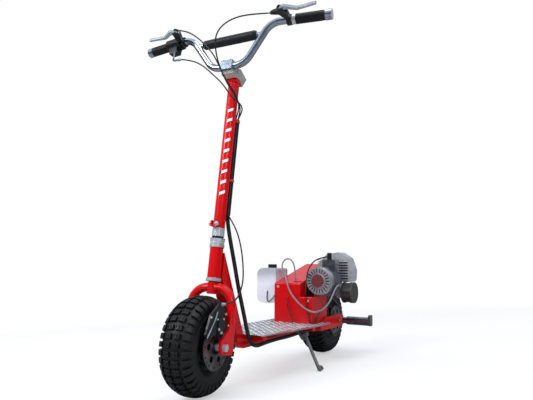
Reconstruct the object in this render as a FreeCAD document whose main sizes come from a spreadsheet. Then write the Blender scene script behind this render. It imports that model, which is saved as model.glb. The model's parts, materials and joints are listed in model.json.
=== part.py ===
import FreeCAD, Part
import math
import os
import Sketcher

# Petrol-engined stand-up scooter leaning on its side stand.
# Millimetres. +X is forward, +Y the rider's left, +Z up, and the floor is z = 0.
# Pieces of the frame are drawn in the upright scooter's own frame, whose origin is the middle
# of the rear axle. Pieces of the steering are drawn along the steering axis: X forward,
# Y left, Z up the axis, from the foot of the perpendicular through the front axle.

sizes = [
    # name, value, what it is
    ("wheelBase", 805, "rear axle to front axle"),
    ("rakeAngle", 8, "steering axis back from the vertical"),
    ("axleLead", 36, "front axle ahead of the steering axis"),
    ("leanAngle", 4, "lean to the left on the stand"),
    ("steerRest", 4.5, "steering turned left as it rests"),
    ("floorLift", 0.1, "shares the turned front wheel's drop between both wheels"),
    ("seat", 0.3, "gap between pieces that seat on each other"),
    ("bearingGap", 0.05, "running clearance on the axles"),
    # Tyres
    ("tyreRadius", 133, "to the lugs' tips"),
    ("tyreWidth", 96, "over the side lugs"),
    ("crownRadius", 70, "round of the tread across the tyre"),
    ("lugHeight", 7.5, "lug tips above the carcass"),
    ("lugCount", 36, "rows of lugs round the tyre"),
    ("lugShare", 0.62, "lug's share of the pitch round the tyre"),
    ("lugInner", 3, "inner lugs from the tyre's middle"),
    ("lugSplit", 22, "outer edge of the inner lugs"),
    ("lugOuter", 29.5, "outer lugs from the tyre's middle"),
    ("shoulderDrop", 31, "foot of the outer lugs below their tips' circle"),
    ("wallDrop", 53, "widest part of the side wall below that circle"),
    # Wheels
    ("rimRadius", 60, "rim flange"),
    ("rimHalf", 31, "half width over the rim flanges"),
    ("rimDrop", 10, "bead seat below the rim flange"),
    ("wellRadius", 43, "drop centre of the rim"),
    ("wellHalf", 8, "half width of the drop centre"),
    ("wellTop", 12, "half width where the drop centre begins"),
    ("rimWall", 3, "pressed rim sheet"),
    ("rimGap", 0.3, "tyre bead to rim flange"),
    ("ventCircle", 30, "vent holes from the rim's middle"),
    ("ventRadius", 6, "vent holes in the rim"),
    ("ventCount", 5, "vent holes in the rim"),
    ("hubRadius", 19, "wheel hub"),
    ("hubShort", 46, "hub end away from the brake, front"),
    ("hubLong", 54, "hub end on the brake side"),
    ("axleRadius", 6, "both axles"),
    ("spacerRadius", 10, "spacers on the axles"),
    ("nutRadius", 10.5, "axle nuts over their corners"),
    ("nutLength", 9, "axle nuts"),
    # Brakes and chain drive
    ("discRadius", 61, "brake discs"),
    ("discPlane", 50, "inner face of the brake discs from the wheel's middle"),
    ("discThick", 3, "brake discs"),
    ("drillCircle", 53, "drilled holes of the discs"),
    ("drillRadius", 3, "drilled holes of the discs"),
    ("drillCount", 12, "drilled holes of the discs"),
    ("windowCircle", 36, "windows of discs and sprocket"),
    ("windowRadius", 8.5, "windows of discs and sprocket"),
    ("windowCount", 6, "windows of discs and sprocket"),
    ("padReach", 5.5, "caliper behind the disc"),
    ("sprocketPlane", 57.5, "inner face of the rear sprocket"),
    ("sprocketThick", 3, "both sprockets"),
    ("rearTeeth", 48, "teeth of the wheel sprocket"),
    ("frontTeeth", 11, "teeth of the engine sprocket"),
    ("chainPitch", 8, "link to link"),
    ("chainWidth", 7, "over the link plates"),
    ("chainOut", 3.6, "chain outside its pitch line"),
    ("chainIn", 2.6, "chain inside its pitch line"),
    ("toothGap", 1, "teeth inside the chain's rollers"),
    ("toothDeep", 3, "depth of the teeth"),
    ("outputX", 82, "engine sprocket ahead of the rear axle"),
    ("outputZ", 99, "engine sprocket above the rear axle"),
    # Fork and head
    ("legY", 67, "fork leg from the middle"),
    ("legRadius", 12.5, "fork tube"),
    ("archAbove", 25, "middle of the fork arch above the tyre"),
    ("archBend", 50, "bend of the fork arch"),
    ("legFoot", 60, "lower ends of the leg tubes above the axle"),
    ("plateIn", 69.5, "inner face of the fork's axle plates"),
    ("plateThick", 7, "axle plates of the fork"),
    ("plateRound", 6, "rounded corners of the axle plates"),
    ("steererRadius", 12.5, "steerer tube"),
    ("steererGrip", 22, "steerer inside the stem"),
    ("crownTube", 16, "short tube through the arch"),
    ("crownAbove", 26, "head tube above the middle of the arch"),
    ("headLength", 87, "head tube"),
    ("headRadius", 19, "head tube"),
    ("headBore", 15.5, "bore of the head tube"),
    ("cupRadius", 21.5, "bearing cups"),
    ("cupHeight", 9, "bearing cups"),
    ("cupBore", 13.7, "bore of the bearing cups"),
    ("nutStack", 48, "lock nut, ring and sleeve above the upper cup"),
    ("sleeveRadius", 18, "sleeve above the lock nut"),
    # Stem and handlebar
    ("stemRadius", 17.5, "stem tube"),
    ("stemBore", 13, "bore of the stem tube"),
    ("stemLength", 484, "stem tube"),
    ("earThick", 5, "clamp ears at the stem's foot"),
    ("earHigh", 17, "clamp ears up the stem"),
    ("earGap", 4, "slit between the clamp ears"),
    ("cheekThick", 3, "side plates of the stem head"),
    ("clampRise", 20, "handlebar clamp above the stem tube"),
    ("clampLead", 41, "handlebar clamp ahead of the axis"),
    ("clampHalf", 20, "half width of the handlebar clamp"),
    ("clampBack", 23, "clamp behind the bar's middle"),
    ("clampAhead", 16, "clamp ahead of the bar's middle"),
    ("clampTall", 30, "clamp's two halves together"),
    ("clampRound", 3, "rounded edges of the clamp"),
    ("barRadius", 11.1, "handlebar tube"),
    ("barRise", 117, "grips above the clamp"),
    ("barHalf", 326, "half width of the handlebar"),
    ("barLean", 12, "upper bends ahead of the clamp"),
    ("barSweep", 18, "grips swept back from the upper bends"),
    ("lowBend", 57, "lower bends from the middle"),
    ("gripRun", 185, "straight end of the handlebar"),
    ("lowRound", 55, "radius of the lower bends"),
    ("highRound", 60, "radius of the upper bends"),
    ("crossHigh", 87, "cross bar above the clamp"),
    ("crossRadius", 7, "cross bar"),
    ("padRadius", 15, "foam pad on the cross bar"),
    ("padHalf", 94, "half length of the foam pad"),
    ("gripLeft", 104, "left grip's inner end from the tube's end"),
    ("gripRight", 85, "right grip's inner end from the tube's end"),
    ("gripRadius", 15.5, "rubber grips"),
    ("capLength", 19, "end caps of the grips"),
    ("capOver", 3, "end caps past the tube's end"),
    ("perchWidth", 13, "clamps of the brake levers"),
    ("perchHigh", 16, "perches of the brake levers"),
    ("perchLeft", 126, "left lever clamp from the tube's end"),
    ("perchRight", 148, "right lever clamp from the tube's end"),
    ("leverThick", 8, "brake lever blades"),
    ("throttleRadius", 21, "throttle housing"),
    # Frame
    ("neckHalf", 18, "half width of the neck"),
    ("neckDrop", 12, "neck's top below the upper end of the head tube"),
    ("neckSink", 3, "neck's notch into the head tube's outline"),
    ("toeRound", 38, "lower front corner of the neck"),
    ("kneeRound", 60, "front edge of the neck"),
    ("deckTop", 9, "tread plate above the axle"),
    ("deckThick", 3, "tread plate"),
    ("deckFront", 615, "front edge of the tread plate"),
    ("deckRear", 190, "rear edge of the tread plate"),
    ("deckShoulder", 350, "where the tread plate is full width"),
    ("deckFrontHalf", 86, "half width at the front edge"),
    ("deckHalf", 122, "half width of the tread plate"),
    ("deckCorner", 7, "rounded corners of the tread plate"),
    ("wireHole", 3.4, "holes of the tread plate for the engine's wires"),
    ("beamLow", -33, "underside of the middle beam"),
    ("beamRear", 150, "rear end of the middle beam"),
    ("braceHeight", 12, "cross braces under the tread plate"),
    ("braceLong", 20, "cross braces along the scooter"),
    ("braceFront", 586, "rear face of the front brace"),
    ("braceMiddle", 320, "rear face of the middle brace"),
    ("crossLong", 24, "cross member ahead of the rear tyre"),
    ("crossRear", 172, "rear face of that cross member"),
    ("railIn", 78, "inner face of the rear rails"),
    ("railThick", 6, "rear rails"),
    ("railHalf", 23, "half height of the rear rails"),
    ("railEnd", 28, "rear end of the rails behind the axle"),
    ("railRound", 18, "rounded rear ends of the rails"),
    # Wheel housing
    ("boxFront", 256, "front face of the wheel housing"),
    ("boxHalf", 77.7, "half width of the wheel housing"),
    ("boxWall", 2.5, "sheet of the wheel housing"),
    ("boxTop", 102, "engine plate of the wheel housing"),
    ("boxRear", 125, "rear end of the engine plate"),
    ("coverLeft", 30, "left side of the sloping cover"),
    ("coverFront", 149, "sloping cover at its front edge"),
    ("coverRear", 222, "sloping cover at its rear edge"),
    ("coverEnd", -20, "rear edge of the sloping cover"),
    ("coverLow", 49, "lower edge of the cover beside the tyre"),
    ("coverHeel", 110, "lower rear corner of the cover's side"),
    ("boxRound", 5, "bends of the housing's sheet"),
    ("slotBack", 30, "slot in the cover behind its front edge"),
    ("slotWide", 12, "slot in the cover"),
    ("slotRight", -11, "right end of that slot"),
    ("slotLong", 36, "slot in the cover across the scooter"),
    # Foot pegs
    ("pegLength", 116, "rear foot pegs"),
    ("pegRadius", 16, "rear foot pegs"),
    ("pegNeck", 18, "thinner root of the foot pegs"),
    ("pegFlange", 8, "end flange of the foot pegs"),
    ("pegRaise", 9, "end flange above the peg"),
    ("pegRound", 7, "rounded corners of the end flange"),
    # Fuel tank
    ("tankRear", 152, "rear face of the fuel tank"),
    ("tankLong", 96, "fuel tank along the scooter"),
    ("tankWide", 82, "fuel tank across the scooter"),
    ("tankLow", 73, "underside of the fuel tank"),
    ("tankHigh", 132, "height of the fuel tank"),
    ("tankRound", 26, "large rounds of the fuel tank"),
    ("tankEdge", 9, "small rounds of the fuel tank"),
    ("ribDeep", 3, "grooves across the tank's top"),
    ("capRadius", 17, "filler cap"),
    ("capHigh", 14, "filler cap"),
    # Engine, from the middle of its crankshaft
    ("crankLeft", 88, "engine's middle from the scooter's middle"),
    ("crankHigh", 159, "crankshaft above the rear axle"),
    ("caseRear", 112, "rear face of the crankcase"),
    ("caseLong", 86, "crankcase along the crankshaft"),
    ("caseRadius", 46, "crankcase"),
    ("barrelX", 152, "cylinder ahead of the rear axle"),
    ("barrelLeft", 10, "cylinder from the crankshaft"),
    ("barrelTop", 78, "cylinder head above the crankshaft"),
    ("barrelRadius", 24, "cylinder core"),
    ("finCount", 5, "cooling fins"),
    ("finPitch", 5.4, "cooling fins"),
    ("finThick", 2, "cooling fins"),
    ("finHalf", 30, "half width of the cooling fins"),
    ("finLong", 34, "half length of the cooling fins"),
    ("recoilRadius", 52, "recoil starter"),
    ("recoilDeep", 28, "recoil starter"),
    ("hubDisc", 25, "middle disc of the recoil starter"),
    ("slitCount", 22, "radial slits of the recoil starter"),
    ("slitHalf", 2.2, "half width of a radial slit"),
    ("shroudRear", 38, "rear face of the engine shroud"),
    ("shroudLong", 62, "engine shroud along the crankshaft"),
    ("shroudRound", 12, "rounded edges of the engine shroud"),
    ("louvreNear", 29, "right ends of the louvres from the crankshaft"),
    ("louvreFar", 66, "left ends of the louvres from the crankshaft"),
    ("louvreCount", 8, "louvres of the engine shroud"),
    ("louvrePitch", 10, "louvres of the engine shroud"),
    ("louvreHigh", 5.5, "louvres of the engine shroud"),
    ("filterRadius", 38, "air filter"),
    ("filterLong", 32, "air filter's body"),
    ("filterLid", 10, "air filter's end disc"),
    # Side stand
    ("standPivotX", 356, "side stand pivot"),
    ("standPivotY", 98, "side stand pivot"),
    ("standPivotZ", -17, "side stand pivot"),
    ("standFootX", 392.7, "side stand foot"),
    ("standFootY", 169, "side stand foot"),
    ("standRodRadius", 5.5, "side stand leg"),
    ("eyeRadius", 9.5, "side stand's pivot eye"),
    ("boltRadius", 5, "side stand's pivot bolt"),
    ("bracketThick", 5, "side stand's bracket"),
    ("loopLong", 26, "loop at the stand's foot"),
    ("loopHalf", 7, "half width of the loop"),
    ("loopThick", 6, "loop at the stand's foot"),
    # Cables
    ("loomRadius", 8.5, "cable sheath on the stem"),
    ("loomLower", 6, "cable sheath below the stem"),
    ("cableRadius", 2.1, "control cables"),
    ("wireRadius", 1.8, "engine's wires"),
    ("leadRadius", 2.6, "spark plug lead"),
    ("hoseRadius", 2.8, "fuel hose"),
]

# Worked-out sizes that outlines may name like the ones above
derived = [
    ("archTop", "tyreRadius + archAbove"),
    ("headLow", "archTop + crownAbove"),
    ("headHigh", "headLow + headLength"),
    ("stemFoot", "headHigh + cupHeight + nutStack"),
    ("stemTop", "stemFoot + stemLength"),
    ("clampHigh", "stemTop + clampRise"),
    ("highBend", "barHalf - gripRun"),
    ("deckUnder", "deckTop - deckThick - seat"),
    ("railOut", "railIn + railThick"),
    ("caseFront", "caseRear + caseLong"),
    ("plateOut", "plateIn + plateThick"),
    ("hubDrive", "sprocketPlane + sprocketThick + 3"),
    ("eyeHalf", "standRodRadius + 0.5"),
]

doc = FreeCAD.newDocument("Scooter")
sheet = doc.addObject("Spreadsheet::Sheet", "Sizes")
for row, (alias, number, words) in enumerate(sizes, start=1):
    sheet.set("A%d" % row, words)
    sheet.set("B%d" % row, str(number))
    sheet.setAlias("B%d" % row, alias)
doc.recompute()

pieces = []


def replaceWord(text, word, new):
    """Text with a whole word exchanged."""
    out = ""
    at = 0
    while at < len(text):
        found = text.find(word, at)
        if found < 0:
            return out + text[at:]
        before = text[found - 1] if found else " "
        after = text[found + len(word)] if found + len(word) < len(text) else " "
        out += text[at:found]
        out += word if before.isalnum() or before == "." or after.isalnum() else new
        at = found + len(word)
    return out


def named(expression):
    """Full form of an expression: worked-out sizes spelled out, the sheet's name before the others."""
    text = str(expression)
    for alias, formula in reversed(derived):
        text = replaceWord(text, alias, "(%s)" % formula)
    for alias, number, words in sizes:
        text = replaceWord(text, alias, "Sizes." + alias)
    return text


def value(expression):
    """Number that an expression of the sizes gives."""
    return float(sheet.evalExpression(named(expression)))


def keep(made, label, seat):
    """Take an object as a sub-part, with its label and its place on the scooter."""
    made.Label = label
    pieces.append((made, label, seat))
    return made


def newBody(label, seat):
    return keep(doc.addObject("PartDesign::Body", label), label, seat)


planeRoles = {"XY": "XY_Plane", "XZ": "XZ_Plane", "YZ": "YZ_Plane"}


def sketchOn(body, plane, offset="0"):
    sketch = body.newObject("Sketcher::SketchObject", body.Name + "_outline")
    origin = [f for f in body.Origin.OriginFeatures if f.Role == planeRoles[plane]][0]
    sketch.AttachmentSupport = (origin, "")
    sketch.MapMode = "FlatFace"
    sketch.setExpression("AttachmentOffset.Base.z", named(offset))
    return sketch


def trace(sketch, corners):
    """Closed outline whose corners are bound to sheet expressions."""
    corners = [(str(across), str(up)) for across, up in corners]
    spots = [FreeCAD.Vector(value(across), value(up), 0) for across, up in corners]
    count = len(spots)
    lines = [sketch.addGeometry(Part.LineSegment(spots[i], spots[(i + 1) % count]), False)
             for i in range(count)]
    for i in range(count):
        sketch.addConstraint(Sketcher.Constraint("Coincident", lines[i], 2, lines[(i + 1) % count], 1))
    for line, spot, corner in zip(lines, spots, corners):
        index = sketch.addConstraint(Sketcher.Constraint("DistanceX", line, 1, spot.x))
        sketch.setExpression("Constraints[%d]" % index, named(corner[0]))
        index = sketch.addConstraint(Sketcher.Constraint("DistanceY", line, 1, spot.y))
        sketch.setExpression("Constraints[%d]" % index, named(corner[1]))


def ring(sketch, across, up, radius):
    """Circle whose centre and radius are bound to sheet expressions."""
    centre = FreeCAD.Vector(value(across), value(up), 0)
    circle = sketch.addGeometry(Part.Circle(centre, FreeCAD.Vector(0, 0, 1), value(radius)), False)
    for kind, number, expression in (("DistanceX", centre.x, across), ("DistanceY", centre.y, up)):
        index = sketch.addConstraint(Sketcher.Constraint(kind, circle, 3, number))
        sketch.setExpression("Constraints[%d]" % index, named(expression))
    index = sketch.addConstraint(Sketcher.Constraint("Radius", circle, value(radius)))
    sketch.setExpression("Constraints[%d]" % index, named(radius))


def ringsRound(circle, radius, count):
    """Rows for holes evenly round the origin."""
    rows = []
    for number in range(int(value(count))):
        turn = 2 * math.pi * number / value(count)
        rows.append(("%s * %.9f" % (circle, math.cos(turn)), "%s * %.9f" % (circle, math.sin(turn)), radius))
    return rows


def sixSides(across, up, radius):
    """Corners of a hexagon."""
    rows = []
    for number in range(6):
        turn = math.pi * number / 3
        rows.append(("%s + %s * %.9f" % (across, radius, math.cos(turn)),
                     "%s + %s * %.9f" % (up, radius, math.sin(turn))))
    return rows


def extrude(body, plane, low, high, corners=None, rings=(), cut=False):
    """Pad or pocket of an outline between two heights along the plane's own axis."""
    towardsMinus = plane == "XZ"
    sketch = sketchOn(body, plane, "-(%s)" % high if towardsMinus else low)
    if corners:
        trace(sketch, corners)
    for across, up, radius in rings:
        ring(sketch, across, up, radius)
    before = 0.0
    if cut:
        doc.recompute()
        before = body.Shape.Volume
    feature = body.newObject("PartDesign::Pocket" if cut else "PartDesign::Pad", body.Name + "_step")
    feature.Profile = sketch
    feature.setExpression("Length", named("(%s) - (%s)" % (high, low)))
    feature.Reversed = cut
    sketch.Visibility = False
    if cut:
        doc.recompute()
        if body.Shape.Volume > before - 0.01:
            raise RuntimeError("a pocket of %s cuts nothing" % body.Label)
    return feature


def turned(body, axis, rows, bore=None, cut=False):
    """Solid or groove of revolution about a local axis from rows of (from, to, radius)."""
    plane = {"X": "XZ", "Y": "XY", "Z": "XZ"}[axis]
    sketch = sketchOn(body, plane)
    inner = bore if bore else "0"
    corners = [(rows[0][0], inner)]
    for start, end, radius in rows:
        corners.append((start, radius))
        corners.append((end, radius))
    corners.append((rows[-1][1], inner))
    if axis != "X":
        corners = [(radius, along) for along, radius in corners]
    trace(sketch, corners)
    feature = body.newObject("PartDesign::Groove" if cut else "PartDesign::Revolution", body.Name + "_turn")
    feature.Profile = sketch
    feature.ReferenceAxis = (sketch, ["H_Axis" if axis == "X" else "V_Axis"])
    feature.Angle = 360
    sketch.Visibility = False
    return feature


def aroundIt(body, feature, count):
    """Repeat a feature evenly about the normal of its own sketch through the origin."""
    pattern = body.newObject("PartDesign::PolarPattern", body.Name + "_around")
    pattern.Originals = [feature]
    pattern.Axis = (feature.Profile[0], ["N_Axis"])
    pattern.Angle = 360
    pattern.setExpression("Occurrences", named(count))
    body.Tip = pattern
    return pattern


def soften(body, radius, wanted):
    """Fillet of the edges that a test picks."""
    doc.recompute()
    names = ["Edge%d" % (i + 1) for i, edge in enumerate(body.Shape.Edges) if wanted(edge)]
    if not names:
        raise RuntimeError("no edge to round on " + body.Label)
    base = body.Tip
    feature = body.newObject("PartDesign::Fillet", body.Name + "_round")
    feature.Base = (base, names)
    feature.setExpression("Radius", named(radius))
    doc.recompute()
    return feature


def runsAlong(edge, way):
    """True for a straight edge along a local direction."""
    if edge.Curve.TypeId != "Part::GeomLine":
        return False
    return abs(edge.Curve.Direction.dot(FreeCAD.Vector(*way))) > 0.999


def bentPath(points, radii):
    """Wire of straight runs joined by tangent arcs."""
    points = [FreeCAD.Vector(*p) for p in points]
    edges = []
    start = points[0]
    for i in range(1, len(points) - 1):
        corner = points[i]
        back = (points[i - 1] - corner).normalize()
        ahead = (points[i + 1] - corner).normalize()
        turn = math.pi - back.getAngle(ahead)
        reach = radii[i - 1] * math.tan(turn / 2)
        first = corner + back * reach
        last = corner + ahead * reach
        middle = corner + (back + ahead).normalize() * radii[i - 1] * (1 / math.cos(turn / 2) - 1)
        edges.append(Part.LineSegment(start, first).toShape())
        edges.append(Part.Arc(first, middle, last).toShape())
        start = last
    edges.append(Part.LineSegment(start, points[-1]).toShape())
    return Part.Wire(edges)


def tubeAlong(points, radii, radius):
    """Round bar along straight runs and arcs."""
    path = bentPath(points, radii)
    start = FreeCAD.Vector(*points[0])
    way = (FreeCAD.Vector(*points[1]) - start).normalize()
    mouth = Part.Wire([Part.makeCircle(radius, start, way)])
    return path.makePipeShell([mouth], True, False), path.Length


def cordAlong(points, radius, words):
    """Cable whose arcs are as large as its runs allow."""
    spots = [FreeCAD.Vector(*p) for p in points]
    radii = []
    for i in range(1, len(spots) - 1):
        back, ahead = spots[i - 1] - spots[i], spots[i + 1] - spots[i]
        turn = math.pi - back.getAngle(ahead)
        radii.append(0.45 * min(back.Length, ahead.Length) / math.tan(turn / 2))
    solid, length = tubeAlong(points, radii, radius)
    share = solid.Volume / (math.pi * radius ** 2 * length)
    print("cord %-16s length %6.1f  tightest radius %6.1f  diameter %4.1f  volume share %.4f"
          % (words, length, min(radii), 2 * radius, share))
    return solid


def solidPiece(label, shape, seat):
    """Sub-part whose shape this script sets itself."""
    made = doc.addObject("Part::Feature", label)
    made.Shape = shape
    return keep(made, label, seat)


def shift(x, y, z, axis=None, angle=0):
    """Local place: a shift, and a turn about an axis where one is given."""
    turn = FreeCAD.Rotation(FreeCAD.Vector(*axis), angle) if axis else FreeCAD.Rotation()
    return FreeCAD.Placement(FreeCAD.Vector(x, y, z), turn)


# Frames: the leaning scooter, the turned steering, the front wheel and the rear wheel
rake = math.radians(value("rakeAngle"))
tilt = math.radians(value("leanAngle"))
rollCentre = shift(0, 0, value("crownRadius"))
lean = rollCentre * shift(0, 0, 0, (1, 0, 0), -value("leanAngle")) * rollCentre.inverse()
axleHigh = shift(0, 0, value("tyreRadius"))
steerFoot = FreeCAD.Vector(value("wheelBase - axleLead * cos(rakeAngle)"), 0, value("-axleLead * sin(rakeAngle)"))
headInFrame = FreeCAD.Placement(steerFoot, FreeCAD.Rotation(FreeCAD.Vector(0, 1, 0), -value("rakeAngle")))
steerInFrame = headInFrame * shift(0, 0, 0, (0, 0, 1), value("steerRest"))
gripEnd = FreeCAD.Vector(value("clampLead - barSweep"), 0, value("clampHigh + barRise"))
barMiddle = (lean * axleHigh * steerInFrame).multVec(gripEnd)
onFrame = shift(-value("wheelBase") / 2, -barMiddle.y, value("floorLift")) * lean * axleHigh
onHead = onFrame * headInFrame
onSteer = onFrame * steerInFrame
onFrontWheel = onSteer * shift(value("axleLead"), 0, 0)
onRearWheel = onFrame


# Wheels
def crownAt(across):
    """Radius of the tread's round at a place across the tyre."""
    crown = value("crownRadius")
    return value("tyreRadius") - crown + math.sqrt(crown ** 2 - across ** 2)


def makeTyre():
    """Knobbly tyre: flat facets, with a row of square lugs on each pitch."""
    count = int(value("lugCount"))
    half = math.pi / count
    squeeze = math.cos(half)
    inner, split, outer = value("lugInner"), value("lugSplit"), value("lugOuter")
    valley = (split + outer) / 2
    edge = value("tyreWidth / 2")
    lift = value("lugHeight")
    shoulder = value("tyreRadius - shoulderDrop")
    wall = value("tyreRadius - wallDrop")
    bead = value("rimRadius + rimGap") / squeeze
    # Carcass from the middle to the bead: radius, across
    strip = (crownAt(inner) - lift, inner)
    groove = (crownAt(valley) - lift, valley)
    foot = (shoulder, edge - 0.7)
    belly = (wall, edge - 2.5)
    lip = (bead, value("rimHalf") + 1)
    # Lug tops as flats, which touch the floor at the tyre's full radius
    tops = [((crownAt(inner) / squeeze, inner + 0.5), (crownAt(split) / squeeze, split)),
            ((crownAt(outer) / squeeze, outer + 0.5), (crownAt(edge - 2.5) / squeeze, edge - 2.5))]
    feet = [(strip, groove), (groove, foot)]
    lugHalf = value("lugShare") * strip[0] * math.sin(half)
    faces = []

    def facet(points):
        faces.append(Part.Face(Part.makePolygon(points + points[:1])))

    for number in range(count):
        turn = 2 * math.pi * number / count
        out = FreeCAD.Vector(math.cos(turn), 0, math.sin(turn))
        along = FreeCAD.Vector(-math.sin(turn), 0, math.cos(turn))

        def spot(row, side, aside):
            return out * (row[0] * squeeze) + along * aside + FreeCAD.Vector(0, side * row[1], 0)

        def border(row):
            return row[0] * math.sin(half)

        def across(row, side, marks):
            return [spot(row, side, mark) for mark in marks]

        marks = [-border(strip), -lugHalf, lugHalf, border(strip)]
        facet(across(strip, 1, marks) + across(strip, -1, marks[::-1]))
        facet(across(lip, 1, [-border(lip), border(lip)]) + across(lip, -1, [border(lip), -border(lip)]))
        for side in (1, -1):
            for (near, far), (low, high) in zip(feet, tops):
                for way in (1, -1):
                    facet([spot(near, side, way * lugHalf), spot(near, side, way * border(near)),
                           spot(far, side, way * border(far)), spot(far, side, way * lugHalf)])
                    facet([spot(near, side, way * lugHalf), spot(far, side, way * lugHalf),
                           spot(high, side, way * lugHalf), spot(low, side, way * lugHalf)])
                facet([spot(low, side, -lugHalf), spot(low, side, lugHalf),
                       spot(high, side, lugHalf), spot(high, side, -lugHalf)])
                for base, top in ((near, low), (far, high)):
                    facet([spot(base, side, -lugHalf), spot(base, side, lugHalf),
                           spot(top, side, lugHalf), spot(top, side, -lugHalf)])
            facet(across(foot, side, [-border(foot), -lugHalf, lugHalf, border(foot)])
                  + across(belly, side, [border(belly), -border(belly)]))
            facet(across(belly, side, [-border(belly), border(belly)])
                  + across(lip, side, [border(lip), -border(lip)]))
    shell = Part.makeShell(faces)
    shell.sewShape()
    return Part.makeSolid(Part.Shell(shell.Faces))


def makeRim(label, seat, hubLow, hubHigh):
    """Pressed rim in two halves on a disc, with its hub."""
    body = newBody(label, seat)
    sketch = sketchOn(body, "XY")
    # half section of the rim barrel, outside then inside: (radius, across)
    outside = [
        ("rimRadius", "rimHalf"),
        ("rimRadius", "rimHalf - rimWall"),
        ("rimRadius - rimDrop", "rimHalf - rimWall"),
        ("rimRadius - rimDrop", "wellTop"),
        ("wellRadius", "wellHalf"),
    ]
    inside = [
        ("wellRadius - rimWall", "rimWall"),
        ("wellRadius - rimWall", "wellHalf"),
        ("rimRadius - rimDrop - rimWall", "wellTop"),
        ("rimRadius - rimDrop - rimWall", "rimHalf"),
    ]
    left = outside[::-1] + inside[::-1]
    right = [(r, "-(%s)" % a) for r, a in inside + outside]
    core = [("hubRadius", "rimWall"), ("hubRadius", hubHigh), ("axleRadius + bearingGap", hubHigh),
            ("axleRadius + bearingGap", hubLow), ("hubRadius", hubLow), ("hubRadius", "-rimWall")]
    trace(sketch, left + core + right)
    turn = body.newObject("PartDesign::Revolution", body.Name + "_turn")
    turn.Profile = sketch
    turn.ReferenceAxis = (sketch, ["V_Axis"])
    turn.Angle = 360
    extrude(body, "XZ", "-rimWall - 1", "rimWall + 1", cut=True,
            rings=ringsRound("ventCircle", "ventRadius", "ventCount"))


def makeDisc(label, seat, low):
    """Brake disc with windows and a circle of drilled holes."""
    body = newBody(label, seat)
    rings = [("0", "0", "discRadius"), ("0", "0", "hubRadius + seat")]
    rings += ringsRound("windowCircle", "windowRadius", "windowCount")
    rings += ringsRound("drillCircle", "drillRadius", "drillCount")
    extrude(body, "XZ", low, low + " + discThick", rings=rings)


levelWheel = shift(0, 0, 0, (0, 1, 0), value("rakeAngle"))
solidPiece("front_tyre", makeTyre(), onFrontWheel * levelWheel)
makeRim("front_rim", onFrontWheel, "-hubShort", "hubLong")
makeDisc("front_disc", onFrontWheel, "discPlane")
solidPiece("rear_tyre", makeTyre(), onRearWheel)
makeRim("rear_rim", onRearWheel, "-hubLong", "hubDrive")
makeDisc("rear_disc", onRearWheel, "-discPlane - discThick")


def pitchRadius(teeth):
    return value("chainPitch") / (2 * math.sin(math.pi / value(teeth)))


rearPitch = pitchRadius("rearTeeth")
frontPitch = pitchRadius("frontTeeth")


def cutTeeth(body, low, high, tip, count):
    """Gaps between the teeth of a sprocket, from one pocket repeated round it."""
    half = math.pi * tip / value(count)
    root = tip - value("toothDeep")
    gap = extrude(body, "XZ", low, high, cut=True, corners=[
        ("%f" % root, "%f" % (-0.45 * half)), ("%f" % (tip + 1), "%f" % (-0.9 * half)),
        ("%f" % (tip + 1), "%f" % (0.9 * half)), ("%f" % root, "%f" % (0.45 * half))])
    aroundIt(body, gap, count)


sprocket = newBody("rear_sprocket", onRearWheel)
rearTip = rearPitch - value("chainIn + toothGap")
extrude(sprocket, "XZ", "sprocketPlane", "sprocketPlane + sprocketThick",
        rings=[("0", "0", "%f" % rearTip), ("0", "0", "hubRadius + seat")]
        + ringsRound("windowCircle", "windowRadius", "windowCount"))
cutTeeth(sprocket, "sprocketPlane - 1", "sprocketPlane + sprocketThick + 1", rearTip, "rearTeeth")


def makeAxle(label, seat, outer, faces):
    """Axle with a spacer beside each hub end and a nut at each end."""
    body = newBody(label, seat)
    right, left = faces
    turned(body, "Y", [
        ("-(%s)" % outer, "-(%s)" % outer.replace("Out", "In"), "axleRadius"),
        ("-(%s)" % outer.replace("Out", "In"), "-(%s + 0.4)" % right, "spacerRadius"),
        ("-(%s + 0.4)" % right, "%s + 0.4" % left, "axleRadius"),
        ("%s + 0.4" % left, outer.replace("Out", "In"), "spacerRadius"),
        (outer.replace("Out", "In"), outer, "axleRadius"),
    ])
    for low, high in (("-(%s + nutLength)" % outer, "-(%s)" % outer), (outer, "%s + nutLength" % outer)):
        extrude(body, "XZ", low, high, corners=sixSides("0", "0", "nutRadius"))


makeAxle("front_axle", onFrontWheel, "plateOut", ("hubShort", "hubLong"))
makeAxle("rear_axle", onRearWheel, "railOut", ("hubLong", "hubDrive"))


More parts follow.
